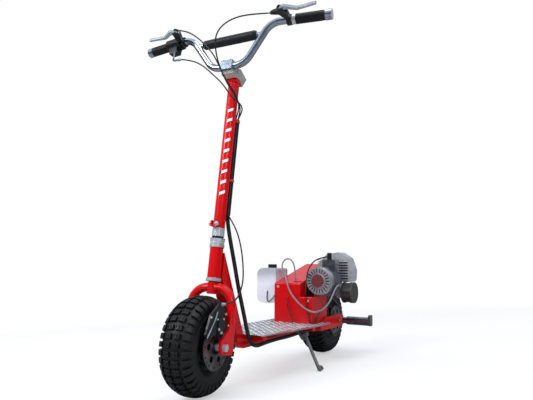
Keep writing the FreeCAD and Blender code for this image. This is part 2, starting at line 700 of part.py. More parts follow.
def makeFork():
    """Bent arch on the steerer, with a flat axle plate at each leg."""
    legY, top, foot = value("legY"), value("archTop"), value("legFoot")
    corners = [(0, -legY, foot), (0, -legY, top), (0, legY, top), (0, legY, foot)]
    arch, length = tubeAlong(corners, [value("archBend")] * 2, value("legRadius"))
    crownHalf = value("crownTube")
    steererLow = top - crownHalf
    steerer = Part.makeCylinder(value("steererRadius"), value("stemFoot + steererGrip") - steererLow,
                                FreeCAD.Vector(0, 0, steererLow))
    crown = Part.makeCylinder(crownHalf, 2 * crownHalf, FreeCAD.Vector(0, 0, steererLow - 2))
    solids = [arch, steerer, crown]
    lead, thick = value("axleLead"), value("plateThick")
    wide = value("legRadius") + 0.5
    for low in (value("plateIn"), -value("plateOut")):
        outline = [(-wide, foot + 40), (wide, foot + 40), (wide + 3, foot - 14), (lead + 15, 16), (lead + 17, 0),
                   (lead + 11, -15), (lead - 4, -19), (-10, -19), (-15, -8)]
        corners = [FreeCAD.Vector(x, low, z) for x, z in outline]
        plate = Part.Face(Part.makePolygon(corners + corners[:1])).extrude(FreeCAD.Vector(0, thick, 0))
        upright = [edge for edge in plate.Edges if runsAlong(edge, (0, 1, 0))]
        plate = plate.makeFillet(value("plateRound"), upright[2:])
        hole = Part.makeCylinder(value("axleRadius"), 3 * thick, FreeCAD.Vector(lead, low - thick, 0),
                                 FreeCAD.Vector(0, 1, 0))
        solids.append(plate.cut(hole))
    return solids[0].fuse(solids[1:]).removeSplitter()


solidPiece("fork", makeFork(), onSteer)

# Head tube, bearing cups and lock nut
headTube = newBody("head_tube", onHead)
turned(headTube, "Z", [("headLow", "headHigh", "headRadius")], bore="headBore")

cups = newBody("bearing_cups", onHead)
cups.AllowCompound = True
turned(cups, "Z", [("headLow - cupHeight", "headLow - seat", "cupRadius")], bore="cupBore")
turned(cups, "Z", [("headHigh + seat", "headHigh + cupHeight", "cupRadius")], bore="cupBore")

lockNut = newBody("lock_nut", onSteer)
nutFoot = "headHigh + cupHeight + 2 * seat"
turned(lockNut, "Z", [
    (nutFoot, nutFoot + " + 8", "cupRadius - 1.5"), (nutFoot + " + 8", nutFoot + " + 18", "sleeveRadius - 1"),
    (nutFoot + " + 18", nutFoot + " + 22", "sleeveRadius - 2.5"),
    (nutFoot + " + 22", "stemFoot - seat", "sleeveRadius")], bore="steererRadius + seat")
extrude(lockNut, "XY", nutFoot + " + 8", nutFoot + " + 18", rings=[("0", "0", "steererRadius + seat")],
        corners=sixSides("0", "0", "cupRadius"))


# Main frame: neck and middle beam, cross braces and rear rails in one weldment
def atCorners(axis, corners):
    """Test for edges along a local axis that pass through named corners of the plane across it."""
    spots = [(value(across), value(up)) for across, up in corners]

    def wanted(edge):
        if not runsAlong(edge, [1 if axis == letter else 0 for letter in "XYZ"]):
            return False
        across, up = [getattr(edge.Vertexes[0], letter) for letter in "XYZ" if letter != axis]
        return any(math.hypot(across - x, up - z) < 0.01 for x, z in spots)

    return wanted


mainFrame = newBody("main_frame", onFrame)
neckTop = headInFrame.multVec(FreeCAD.Vector(value("neckSink - headRadius"), 0, value("headHigh - neckDrop")))
neckRoot = headInFrame.multVec(FreeCAD.Vector(value("neckSink - headRadius"), 0, value("headLow + 4")))
neckKnee = ("%f" % (neckRoot.x - 24), "%f" % (neckRoot.z - 61))
neckShin = ("deckFront + 47", "deckTop + 36")
neckToe = ("deckFront + 21", "beamLow")
neckHeel = ("deckFront - 2", "deckTop")
extrude(mainFrame, "XZ", "-neckHalf", "neckHalf", corners=[
    ("%f" % neckTop.x, "%f" % neckTop.z), ("%f" % neckRoot.x, "%f" % neckRoot.z),
    neckKnee, neckShin, neckToe, ("beamRear", "beamLow"), ("beamRear", "deckUnder"),
    ("deckFront - 6", "deckUnder"), neckHeel])
soften(mainFrame, "toeRound", atCorners("Y", [neckToe]))
soften(mainFrame, "kneeRound", atCorners("Y", [neckKnee, neckShin]))
for rear, half in (("braceFront", "deckFrontHalf - 2"), ("braceMiddle", "deckHalf - 2")):
    extrude(mainFrame, "XY", "deckTop - deckThick - braceHeight", "deckUnder", corners=[
        (rear, "-(%s)" % half), (rear + " + braceLong", "-(%s)" % half),
        (rear + " + braceLong", half), (rear, half)])
extrude(mainFrame, "XY", "-railHalf", "deckUnder", corners=[
    ("crossRear", "-railIn - 1"), ("crossRear + crossLong", "-railIn - 1"),
    ("crossRear + crossLong", "railIn + 1"), ("crossRear", "railIn + 1")])
railTail = [("-railEnd", "railHalf"), ("-railEnd", "-railHalf")]
for near in ("railIn", "-railOut"):
    extrude(mainFrame, "XZ", near, near + " + railThick", corners=[
        ("crossRear + crossLong", "-railHalf"), ("crossRear + crossLong", "deckUnder"),
        ("deckRear - seat", "deckUnder"), ("deckRear - seat", "deckTop - 2"), ("beamRear", "railHalf")]
        + railTail, rings=[("0", "0", "axleRadius")])
soften(mainFrame, "railRound", atCorners("Y", railTail))

# The neck is notched round the head tube and its lower cup
notch = sketchOn(mainFrame, "XZ")
notchRows = [("0", "headLow - cupHeight - 3"), ("cupRadius + 1", "headLow - cupHeight - 3"),
             ("cupRadius + 1", "headLow + seat"), ("headRadius + seat", "headLow + seat"),
             ("headRadius + seat", "headHigh + cupHeight"), ("0", "headHigh + cupHeight")]
notchSpots = [headInFrame.multVec(FreeCAD.Vector(-value(back), 0, value(up))) for back, up in notchRows]
notchSpots = notchSpots[-1:] + notchSpots[:-1]
trace(notch, [("%f" % spot.x, "%f" % spot.z) for spot in notchSpots])
neckNotch = mainFrame.newObject("PartDesign::Groove", "neck_notch")
neckNotch.Profile = notch
neckNotch.ReferenceAxis = (notch, ["Edge1"])
neckNotch.Angle = 360

# Tread plate
deck = newBody("deck_plate", onFrame)
deckCorners = [("deckFront", "-deckFrontHalf"), ("deckFront", "deckFrontHalf"),
               ("deckRear", "deckHalf"), ("deckRear", "-deckHalf")]
wireHoles = [("272.5", "7.4"), ("263.2", "70.5"), ("254.6", "87.7")]
extrude(deck, "XY", "deckTop - deckThick", "deckTop", rings=[
    (ahead, aside, "wireHole") for ahead, aside in wireHoles], corners=[
    deckCorners[0], ("deckFront", "-neckHalf - 1"), ("deckFront - 12", "-neckHalf - 1"),
    ("deckFront - 12", "neckHalf + 1"), ("deckFront", "neckHalf + 1"), deckCorners[1],
    ("deckShoulder", "deckHalf"), deckCorners[2], ("deckRear", "boxHalf + seat"),
    ("boxFront + seat", "boxHalf + seat"), ("boxFront + seat", "-(boxHalf + seat)"),
    ("deckRear", "-(boxHalf + seat)"), deckCorners[3], ("deckShoulder", "-deckHalf")])
soften(deck, "deckCorner", atCorners("Z", deckCorners))

# Wheel housing
housing = newBody("wheel_housing", onFrame)
slope = "(coverRear - coverFront) / (boxFront - coverEnd)"
extrude(housing, "XZ", "-boxHalf", "coverLeft", corners=[
    ("boxFront", "deckTop - deckThick"), ("boxFront", "coverFront"), ("coverEnd", "coverRear"),
    ("coverEnd", "coverLow"), ("coverHeel", "deckTop - deckThick")])
extrude(housing, "XZ", "coverLeft", "boxHalf", corners=[
    ("boxFront", "deckTop - deckThick"), ("boxFront", "boxTop"), ("boxRear", "boxTop"),
    ("boxRear", "deckTop - deckThick")])
soften(housing, "boxRound", atCorners("Y", [("boxFront", "coverFront"), ("boxFront", "boxTop")]))
extrude(housing, "XZ", "-boxHalf + boxWall", "coverLeft - boxWall", cut=True, corners=[
    ("boxFront - boxWall", "deckTop - 5"), ("boxFront - boxWall", "coverFront - 1.6 * boxWall"),
    ("coverEnd - 20", "coverRear - 1.6 * boxWall + 20 * %s" % slope), ("coverEnd - 20", "deckTop - 5")])
extrude(housing, "XZ", "coverLeft - 2 * boxWall", "boxHalf - boxWall", cut=True, corners=[
    ("boxFront - boxWall", "deckTop - 5"), ("boxFront - boxWall", "boxTop - boxWall"),
    ("coverEnd - 20", "boxTop - boxWall"), ("coverEnd - 20", "deckTop - 5")])
extrude(housing, "XZ", "coverLeft - 2 * boxWall", "coverLeft + 1", cut=True, corners=[
    ("boxRear", "boxTop - boxWall - 1"), ("boxRear", "coverFront - 6"), ("coverEnd - 20", "coverFront - 6"),
    ("coverEnd - 20", "boxTop - boxWall - 1")])
# Slot across the sloping cover near its front edge
extrude(housing, "XY", "coverFront - 8", "coverRear", cut=True, corners=[
    ("boxFront - slotBack", "slotRight"), ("boxFront - slotBack + slotWide", "slotRight"),
    ("boxFront - slotBack + slotWide", "slotRight + slotLong"), ("boxFront - slotBack", "slotRight + slotLong")])

# Rear foot pegs on the axle ends
pegs = newBody("foot_pegs", onRearWheel)
pegs.AllowCompound = True
pegStart = "(railOut + nutLength + seat)"
flangeSpan = [(pegStart + " + pegLength - pegFlange", pegStart + " + pegLength"),
              ("-(%s + pegLength)" % pegStart, "-(%s + pegLength - pegFlange)" % pegStart)]
flangeCorners = [("-pegRadius", "-pegRadius"), ("pegRadius", "-pegRadius"),
                 ("pegRadius", "pegRadius + pegRaise"), ("-pegRadius", "pegRadius + pegRaise")]
for sign, span in (("", flangeSpan[0]), ("-", flangeSpan[1])):
    turned(pegs, "Y", [
        ("%s(%s)" % (sign, pegStart), "%s(%s + pegNeck)" % (sign, pegStart), "pegRadius - 3.5"),
        ("%s(%s + pegNeck)" % (sign, pegStart), "%s(%s + pegLength - pegFlange)" % (sign, pegStart), "pegRadius")])
    extrude(pegs, "XZ", span[0], span[1], corners=flangeCorners)
soften(pegs, "pegRound", atCorners("Y", flangeCorners))

# Fuel tank
tank = newBody("fuel_tank", onFrame)
tankOuter = "-(boxHalf + seat + tankWide)"
extrude(tank, "XY", "tankLow", "tankLow + tankHigh", corners=[
    ("tankRear", tankOuter), ("tankRear + tankLong", tankOuter),
    ("tankRear + tankLong", "-(boxHalf + seat)"), ("tankRear", "-(boxHalf + seat)")])
soften(tank, "tankRound", atCorners("X", [(tankOuter, "tankLow"), (tankOuter, "tankLow + tankHigh")]))
soften(tank, "tankEdge", atCorners("X", [("-(boxHalf + seat)", "tankLow + tankHigh")]))
for number in range(4):
    rear = "tankRear + %d" % (8 + 7 * number)
    extrude(tank, "XY", "tankLow + tankHigh - ribDeep", "tankLow + tankHigh", cut=True, corners=[
        (rear, tankOuter), (rear + " + 3", tankOuter), (rear + " + 3", "-(boxHalf + seat) - 8"),
        (rear, "-(boxHalf + seat) - 8")])

tankCap = newBody("tank_cap", onFrame * shift(value("tankRear + tankLong / 2"),
                                              value("-(boxHalf + seat + tankWide / 2)"), 0))
turned(tankCap, "Z", [("tankLow + tankHigh + seat", "tankLow + tankHigh + capHigh", "capRadius")])

# Engine: crankshaft along X
onEngine = onFrame * shift(0, value("crankLeft"), value("crankHigh"))
block = newBody("engine_block", onEngine)
boxLevel = "-(crankHigh - boxTop - seat)"
extrude(block, "YZ", "caseRear", "caseFront", rings=[("0", "0", "caseRadius")])
extrude(block, "YZ", "caseRear + 13", "caseFront - 8", corners=[
    ("-34", boxLevel), ("34", boxLevel), ("40", "0"), ("26", "52"), ("-26", "52"), ("-40", "0")])
extrude(block, "YZ", "caseRear + 20", "caseRear + 52", corners=[
    ("30", "-54"), ("caseRadius", "-54"), ("caseRadius", "-18"), ("30", "-18")])
extrude(block, "YZ", "caseRear - 52", "caseRear", corners=[
    ("-18", boxLevel), ("30", boxLevel), ("34", "-20"), ("26", "-6.5"), ("-14", "-6.5"), ("-22", "-20")])
extrude(block, "XY", "40", "barrelTop", rings=[("barrelX", "barrelLeft", "barrelRadius")])
for number in range(int(value("finCount"))):
    low = "(barrelTop - %d * finPitch - finThick)" % number
    extrude(block, "XY", low, low + " + finThick", corners=[
        ("barrelX - finLong", "barrelLeft - finHalf"), ("barrelX + finLong", "barrelLeft - finHalf"),
        ("barrelX + finLong", "barrelLeft + finHalf"), ("barrelX - finLong", "barrelLeft + finHalf")])

recoil = newBody("recoil_starter", onEngine)
turned(recoil, "X", [
    ("caseFront + seat", "caseFront + recoilDeep / 2", "recoilRadius"),
    ("caseFront + recoilDeep / 2", "caseFront + recoilDeep", "recoilRadius - 5"),
    ("caseFront + recoilDeep", "caseFront + recoilDeep + 5", "hubDisc")])
slit = extrude(recoil, "YZ", "caseFront + recoilDeep - 8", "caseFront + recoilDeep", cut=True, corners=[
    ("hubDisc + 3", "-slitHalf"), ("recoilRadius - 7", "-slitHalf"),
    ("recoilRadius - 7", "slitHalf"), ("hubDisc + 3", "slitHalf")])
aroundIt(recoil, slit, "slitCount")

plug = newBody("spark_plug", onEngine * shift(value("barrelX"), value("barrelLeft") + 4, value("barrelTop")))
turned(plug, "Z", [("seat", "5", "9"), ("5", "26", "8.5")])

shroud = newBody("engine_shroud", onEngine)
shroudCorners = [("-58", "0"), ("-58", "64"), ("-20", "100"), ("30", "108"), ("66", "86"), ("82", "40"),
                 ("78", "-6")]
extrude(shroud, "YZ", "shroudRear", "shroudRear + shroudLong", corners=shroudCorners)
soften(shroud, "shroudRound", lambda edge: runsAlong(edge, (1, 0, 0)))
for number in range(int(value("louvreCount"))):
    low = "%d * louvrePitch - louvreHigh" % number
    extrude(shroud, "YZ", "shroudRear + shroudLong - 4", "shroudRear + shroudLong", cut=True, corners=[
        ("louvreNear", low), ("louvreFar", low), ("louvreFar", low + " + louvreHigh"),
        ("louvreNear", low + " + louvreHigh")])

carb = newBody("carburettor", onEngine)
extrude(carb, "XZ", "caseRadius + seat", "caseRadius + 20", corners=[
    ("caseRear + 13", "-62"), ("caseRear + 58", "-62"), ("caseRear + 58", "-20"), ("caseRear + 50", "-12"),
    ("caseRear + 13", "-12")])

airFilter = newBody("air_filter", onEngine * shift(value("caseRear + 28"), value("caseRadius") + 20, -42))
turned(airFilter, "Y", [
    ("seat", "6", "filterRadius"), ("6", "filterLong - 4", "filterRadius - 2.5"),
    ("filterLong - 4", "filterLong + filterLid", "filterRadius")])

# Stem and handlebar
stem = newBody("stem", onSteer)
turned(stem, "Z", [("stemFoot", "stemTop", "stemRadius")], bore="stemBore")
earOut = "(earGap / 2 + earThick)"
for near, far in (("earGap / 2", earOut), ("-" + earOut, "-earGap / 2")):
    extrude(stem, "XZ", near, far, rings=[("stemRadius + 13", "stemFoot + earHigh / 2", "3")], corners=[
        ("stemBore + 1", "stemFoot"), ("stemRadius + 20", "stemFoot"),
        ("stemRadius + 20", "stemFoot + earHigh"), ("stemBore + 1", "stemFoot + earHigh")])
extrude(stem, "XZ", "-earGap / 2", "earGap / 2", cut=True, corners=[
    ("0", "stemFoot"), ("stemRadius + 21", "stemFoot"), ("stemRadius + 21", "stemFoot + earHigh + 6"),
    ("0", "stemFoot + earHigh + 6")])
extrude(stem, "XZ", "-(stemRadius + 0.5)", "stemRadius + 0.5", corners=[
    ("-stemRadius", "stemTop - 22"), ("-stemRadius", "stemTop + 10"), ("-6", "stemTop + 22"),
    ("8", "stemTop + 22"), ("stemRadius", "stemTop + 12"), ("stemRadius", "stemTop - 18")])

stemHead = newBody("stem_head", onSteer)
clampRear = "(clampLead - clampBack)"
clampLow = "(clampHigh - clampTall / 2)"
cheekIn = "(stemRadius + 0.5 + seat)"
cheekOut = "(%s + cheekThick)" % cheekIn
extrude(stemHead, "XZ", "-" + cheekOut, cheekOut, corners=[
    (clampRear, clampLow + " - seat"), ("clampLead + 7", clampLow + " - seat"),
    ("clampLead + 4", clampLow + " - 11"), ("stemRadius + 3", "stemTop - 9")])
for near, far in ((cheekIn, cheekOut), ("-" + cheekOut, "-" + cheekIn)):
    extrude(stemHead, "XZ", near, far, corners=[
        ("clampLead", clampLow + " - seat"), (clampRear + " - seat", clampLow + " - seat"),
        (clampRear + " - seat", clampLow + " + 17"), ("3", "stemTop + 29"), ("-stemRadius - 21", "stemTop + 13"),
        ("-stemRadius", "stemTop - 24"), ("2", "stemTop - 9"), ("stemRadius + 6", "stemTop - 9")])

barClamp = newBody("bar_clamp", onSteer)
barClamp.AllowCompound = True
for low, high in ((clampLow, "clampHigh - 0.5"), ("clampHigh + 0.5", "clampHigh + clampTall / 2")):
    extrude(barClamp, "XZ", "-clampHalf", "clampHalf", corners=[
        (clampRear, low), ("clampLead + clampAhead", low), ("clampLead + clampAhead", high), (clampRear, high)])
soften(barClamp, "clampRound", atCorners("Y", [
    (clampRear, clampLow), (clampRear, "clampHigh + clampTall / 2"),
    ("clampLead + clampAhead", "clampHigh + clampTall / 2")]))
extrude(barClamp, "XZ", "-clampHalf", "clampHalf", rings=[("clampLead", "clampHigh", "barRadius + seat")],
        cut=True)


def barPoints():
    x, z = value("clampLead"), value("clampHigh")
    rise, lead = value("barRise"), value("barLean")
    half, low, high = value("barHalf"), value("lowBend"), value("highBend")
    left = [(x, low, z), (x + lead, high, z + rise), (x + lead - value("barSweep"), half, z + rise - 3)]
    return [(a, -b, c) for a, b, c in reversed(left)] + left


crossShare = value("crossHigh / barRise")
crossX = value("clampLead") + value("barLean") * crossShare
crossZ = value("clampHigh + crossHigh")


def makeBar():
    """Tube bent to a U with risers, and the cross bar between them."""
    radii = [value("highRound"), value("lowRound"), value("lowRound"), value("highRound")]
    bar, length = tubeAlong(barPoints(), radii, value("barRadius"))
    y = value("lowBend") + crossShare * value("highBend - lowBend")
    cross = Part.makeCylinder(value("crossRadius"), 2 * y, FreeCAD.Vector(crossX, -y, crossZ),
                              FreeCAD.Vector(0, 1, 0))
    return bar.fuse(cross).removeSplitter()


solidPiece("handlebar", makeBar(), onSteer)
pad = newBody("bar_pad", onSteer * shift(crossX, 0, crossZ))
turned(pad, "Y", [("-padHalf", "padHalf", "padRadius")], bore="crossRadius + seat")


def gripSeat(side):
    """Frame at the bar's end: X forward, and on the left Y runs out along the bar."""
    points = barPoints()
    inner, outer = (points[-2], points[-1]) if side > 0 else (points[1], points[0])
    way = (FreeCAD.Vector(*outer) - FreeCAD.Vector(*inner)).normalize()
    return onSteer * FreeCAD.Placement(FreeCAD.Vector(*outer),
                                       FreeCAD.Rotation(FreeCAD.Vector(0, side, 0), way))


def spanOn(side, near, far):
    """Low and high place along the bar from two distances from its end."""
    return ("-(%s)" % far, "-(%s)" % near) if side > 0 else (near, far)


# side, grip's inner end, lever clamp's middle, both from the tube's end, lever 22 mm further in on the right
controls = [
    (1, "left", "gripLeft", "perchLeft"),
    (-1, "right", "gripRight", "perchRight"),
]
for side, word, gripInner, perch in controls:
    sign = "-" if side > 0 else ""
    grip = newBody("grip_" + word, gripSeat(side))
    low, high = spanOn(side, "capLength - capOver + seat", gripInner)
    turned(grip, "Y", [(low, high, "gripRadius")], bore="barRadius + seat")
    cap = newBody("grip_cap_" + word, gripSeat(side))
    low, high = spanOn(side, "-seat", "capLength - capOver")
    turned(cap, "Y", [(low, high, "gripRadius")], bore="barRadius + seat")
    low, high = spanOn(side, "-capOver", "-seat")
    turned(cap, "Y", [(low, high, "gripRadius")])

    clamp = newBody("lever_perch_" + word, gripSeat(side))
    low, high = spanOn(side, perch + " - perchWidth / 2", perch + " + perchWidth / 2")
    extrude(clamp, "XZ", low, high, rings=[("0", "0", "barRadius + 5"), ("0", "0", "barRadius + seat")])
    # forward of the tube, inwards of the clamp's middle
    perchRows = [(14, -6), (34, -6), (62, 4), (66, 16), (56, 24), (44, 22), (14, 6)]
    extrude(clamp, "XY", "-perchHigh / 2", "perchHigh / 2", corners=[
        ("%d" % ahead, "%s(%s + %d)" % (sign, perch, inward)) for ahead, inward in perchRows])
    extrude(clamp, "XY", "-leverThick / 2 - seat", "leverThick / 2 + seat", cut=True, corners=[
        ("%d" % ahead, "%s(%s + %d)" % (sign, perch, inward))
        for ahead, inward in ((39, 30), (39, 9), (42, -12), (80, -12), (80, 30))])

    lever = newBody("brake_lever_" + word, gripSeat(side))
    # forward of the tube, inwards of the clamp's middle
    bladeRows = [(56, 20), (72, -1), (54, -38), (64, -96), (57, -98), (44, -37), (56, -4), (46, 14)]
    bladeCorners = [("%d" % ahead, "%s(%s + %d)" % (sign, perch, inward)) for ahead, inward in bladeRows]
    extrude(lever, "XY", "-leverThick / 2", "leverThick / 2", corners=bladeCorners)
    soften(lever, "2.5", atCorners("Z", [bladeCorners[n] for n in (0, 3, 4, 7)]))
    soften(lever, "9", atCorners("Z", [bladeCorners[n] for n in (1, 2, 5, 6)]))

throttle = newBody("throttle_housing", gripSeat(-1))
turned(throttle, "Y", [("gripRight + seat", "perchRight - perchWidth / 2 - seat", "throttleRadius")],
       bore="barRadius + seat")
extrude(throttle, "XZ", "gripRight + 12", "gripRight + 44", corners=[
    ("-12", "-36"), ("10", "-36"), ("14", "-16"), ("-14", "-16")])

# Front brake caliper: plate beside the disc, lug on the fork's axle plate, body round the disc's edge
caliper = newBody("front_caliper", onFrontWheel)
plateCorners = [("-14", "70"), ("-14", "92"), ("10", "112"), ("24", "112"), ("60", "80"), ("78", "30"),
                ("66", "18"), ("34", "30"), ("20", "36")]
extrude(caliper, "XZ", "discPlane + 10", "discPlane + 16", corners=plateCorners)
soften(caliper, "4", atCorners("Y", plateCorners[1:7]))
extrude(caliper, "XZ", "discPlane - padReach", "discPlane", corners=[
    ("-16", "40"), ("24", "40"), ("24", "56"), ("18", "discRadius + 1"), ("-16", "discRadius + 1")])
extrude(caliper, "XZ", "discPlane", "plateIn - seat", corners=[
    ("-16", "36"), ("22", "36"), ("26", "58"), ("22", "76"), ("-8", "78"), ("-16", "66")])
extrude(caliper, "XZ", "discPlane - 1", "discPlane + discThick + 1", cut=True,
        rings=[("0", "0", "discRadius + 3")])

rearCaliper = newBody("rear_caliper", onRearWheel)
extrude(rearCaliper, "XZ", "-discPlane", "-(discPlane - padReach)", corners=[
    ("36", "22"), ("58", "18"), ("58", "28"), ("42", "46"), ("34", "46")])
extrude(rearCaliper, "XZ", "-(boxHalf - boxWall - seat)", "-discPlane", corners=[
    ("36", "22"), ("62", "18"), ("66", "44"), ("48", "58"), ("34", "48")])
extrude(rearCaliper, "XZ", "-(railIn - seat)", "-(boxHalf - boxWall - 2 * seat)", rings=[("58", "17", "6")])
extrude(rearCaliper, "XZ", "-(discPlane + discThick + 1)", "-(discPlane - 1)", cut=True,
        rings=[("0", "0", "discRadius + 3")])

# Chain drive on the left
driveSprocket = newBody("drive_sprocket", onFrame * shift(value("outputX"), 0, value("outputZ")))
frontTip = frontPitch - value("chainIn + toothGap")
turned(driveSprocket, "Y", [
    ("sprocketPlane - 2.5", "sprocketPlane", "9"),
    ("sprocketPlane", "sprocketPlane + sprocketThick", "%f" % frontTip),
    ("sprocketPlane + sprocketThick", "crankLeft - 22 - seat", "7")])
cutTeeth(driveSprocket, "sprocketPlane", "sprocketPlane + sprocketThick", frontTip, "frontTeeth")


def makeChain():
    """Closed chain loop round both sprockets, in flat facets."""
    low = FreeCAD.Vector(0, 0, 0)
    high = FreeCAD.Vector(value("outputX"), 0, value("outputZ"))
    way = (high - low).normalize()
    side = FreeCAD.Vector(-way.z, 0, way.x)
    tilt = math.asin((rearPitch - frontPitch) / (high - low).Length)
    # centre, pitch radius, first angle and last angle from the way to the engine, facets
    arcs = [(low, rearPitch, math.pi / 2 - tilt, 1.5 * math.pi + tilt, 14),
            (high, frontPitch, tilt - math.pi / 2, math.pi / 2 - tilt, 5)]
    near = FreeCAD.Vector(0, value("sprocketPlane + (sprocketThick - chainWidth) / 2"), 0)
    loops = []
    for grow in (value("chainOut"), -value("chainIn")):
        points = []
        for centre, radius, start, end, count in arcs:
            for number in range(count + 1):
                angle = start + (end - start) * number / count
                spot = way * math.cos(angle) + side * math.sin(angle)
                points.append(centre + spot * (radius + grow) + near)
        loops.append(Part.makePolygon(points + points[:1]))
    face = Part.Face(loops[0]).cut(Part.Face(loops[1]))
    return face.extrude(FreeCAD.Vector(0, value("chainWidth"), 0))


solidPiece("drive_chain", makeChain(), onFrame)

# Side stand: hinge axis tilted so that the leg folds back under the deck's edge
pivot = FreeCAD.Vector(value("standPivotX"), value("standPivotY"), value("standPivotZ"))
foot = FreeCAD.Vector(value("standFootX"), value("standFootY"), 0)
crown = value("crownRadius")
foot.z = crown + (foot.y * math.sin(tilt) - crown) / math.cos(tilt) - value("tyreRadius")
down = (foot - pivot).normalize()
hinge = down.cross(FreeCAD.Vector(-1, 0, 0)).normalize()
legRadius = value("standRodRadius")
eyeHalf = value("eyeHalf")
boltRadius = value("boltRadius")


def makeStand():
    """Round leg with its pivot eye, a ball end and a slotted loop to push it with."""
    leg = Part.makeCylinder(legRadius, (foot - pivot).Length - legRadius, pivot, down)
    eye = Part.makeCylinder(value("eyeRadius"), 2 * eyeHalf, pivot - hinge * eyeHalf, hinge)
    sole = Part.makeSphere(legRadius, foot + FreeCAD.Vector(0, 0, legRadius))
    thick, half, long = value("loopThick"), value("loopHalf"), value("loopLong")
    ahead = hinge.cross(down)
    middle = foot - down * (half + legRadius + 2) - hinge * (thick / 2)
    far = middle + ahead * (long - half)
    loop = Part.makeBox(long - half, 2 * half, thick)
    loop.Placement = FreeCAD.Placement(middle + down * half, FreeCAD.Rotation(ahead, -down, hinge, "XYZ"))
    loop = loop.fuse(Part.makeCylinder(half, thick, far, hinge))
    slot = Part.makeCylinder(half - 3.5, 3 * thick, far - hinge * thick, hinge)
    bore = Part.makeCylinder(boltRadius + value("bearingGap"), 4 * eyeHalf, pivot - hinge * 2 * eyeHalf, hinge)
    return leg.fuse([eye, sole, loop]).cut(bore).cut(slot)


def makeBracket():
    """Plate square to the hinge, from the deck down to the pivot bolt."""
    thick, wide, tall = value("bracketThick"), 30, 60
    turn = FreeCAD.Rotation(FreeCAD.Vector(1, 0, 0), FreeCAD.Vector(), hinge, "XZY")
    plate = Part.makeBox(wide, tall, thick, FreeCAD.Vector(
        -boltRadius - 5.5, 12 - tall, -eyeHalf - value("seat") - thick))
    low = [edge for edge in plate.Edges if runsAlong(edge, (0, 0, 1)) and edge.Vertexes[0].Y > 0]
    plate = plate.makeFillet(8, low).transformGeometry(FreeCAD.Placement(pivot, turn).toMatrix())
    above = Part.makeBox(200, 200, 100, FreeCAD.Vector(pivot.x - 100, pivot.y - 100, value("deckUnder")))
    pin = Part.makeCylinder(boltRadius, 2 * eyeHalf + 7, pivot - hinge * (eyeHalf + 4), hinge)
    head = Part.makeCylinder(boltRadius + 3, 5, pivot + hinge * (eyeHalf + value("seat")), hinge)
    return plate.cut(above).fuse([pin, head])


solidPiece("side_stand", makeStand(), onFrame)
solidPiece("stand_bracket", makeBracket(), onFrame)

# Cables and hoses: routes as points that the straight runs would meet at
loomX, loomY = -24.3, 10.1
loomTop, loomLow = 679.2, 372
leverCables = [
    ("left lever", [(89, 150, 955), (119, 120, 939), (149, 90, 919), (168, 62, 896), (180, 42, 865),
                    (173, 30, 838), (148, 25, 800), (108, 25, 768), (72, 27, 747), (40, 29, 734), (8, 30, 722),
                    (-17, 24, 706), (-22.5, 14.5, 680.3)]),
    ("right lever", [(137, -120, 924), (128.6, -95, 917), (120.5, -60, 890), (112.5, -30, 858),
                     (106, -12, 834), (90, 4, 797), (66, 16, 766), (38, 25, 748), (8, 25, 733),
                     (-15, 20, 711), (-21.5, 6.5, 680.3)]),
    ("throttle", [(87, -150, 859), (77.5, -115, 855), (69, -75, 833), (68, -30, 791), (61.6, 0, 762),
                  (47.8, 26, 722), (20, 37, 716), (-10, 34, 712), (-29, 20, 703), (-29, 9.5, 680.3)]),
    ("front brake", [(-20, 16, 371), (-12, 38, 347), (-18, 56, 314), (-31, 65, 270), (-37, 71, 228),
                     (-30, 79.5, 188), (-17, 83, 156), (4, 85.5, 132), (27, 83, 117), (48, 75, 112)]),
]
cables = [cordAlong(points, value("cableRadius"), words) for words, points in leverCables]
solidPiece("control_cables", Part.makeCompound(cables), onSteer)

# Sheath along the stem with its two bands
sheath = Part.makeCylinder(value("loomRadius"), loomTop - loomLow, FreeCAD.Vector(loomX, loomY, loomLow))
solidPiece("cable_loom_upper", sheath, onSteer)

lowerLoom = [(688, 6.7, 336), (688, 15, 292), (682, 29, 217), (664, 32, 147), (642, 35, 80), (632, 43, 24),
             (619, 46, -14), (585, 47, -28), (540, 48, -24), (470, 50, -21), (380, 48, -23), (285, 51, -18),
             (196.3, 50, -12)]
solidPiece("cable_loom_lower", cordAlong(lowerLoom, value("loomLower"), "lower loom"), onFrame)

fuelHose = [(205, -15, 163.5), (205, -17, 196), (205, -24, 226), (206, -42, 242), (212, -60, 236),
            (224, -65, 216), (240, -50, 196), (258, -28, 168), (272, -6.5, 122), (278, 26, 87), (280, 64, 60),
            (275, 94, 49), (262, 119, 58), (245, 140, 83), (226, 148, 118), (206, 149, 134), (188, 146, 141),
            (170.3, 144, 142)]
solidPiece("fuel_hose", cordAlong(fuelHose, value("hoseRadius"), "fuel hose"), onFrame)

coil = newBody("ignition_coil", onFrame)
extrude(coil, "XY", "boxTop + seat", "boxTop + 22", corners=[
    ("192", "32"), ("212", "32"), ("212", "46"), ("192", "46")])
engineWires = [
    ("right wire", "wireRadius", [(257.6, -20, 96), (266, -20, 88), (268, -16, 66), (269, -6, 42),
                                  (271, 3, 24), (272.3, 7, 14.5), (272.5, 7.6, 6.6)]),
    ("middle wire", "wireRadius", [(227.3, 50, 184), (240, 50, 176), (256, 53, 150), (262, 55, 112),
                                   (263, 58, 70), (262.3, 66, 36), (263, 70, 18), (263.2, 70.6, 6.6)]),
    ("left wire", "wireRadius", [(171, 140, 135), (190, 139, 126), (214, 124, 98), (236, 106, 64),
                                 (249, 95, 36), (254, 88.5, 18), (254.6, 87.6, 6.6)]),
    ("plug lead", "leadRadius", [(152, 92.2, 248), (158, 76, 245), (173, 58, 238), (190, 46, 223),
                                 (203, 38, 200), (209, 33.2, 172), (207, 33.2, 148), (203, 35, 124.6)]),
]
wires = [cordAlong(points, value(radius), words) for words, radius, points in engineWires]
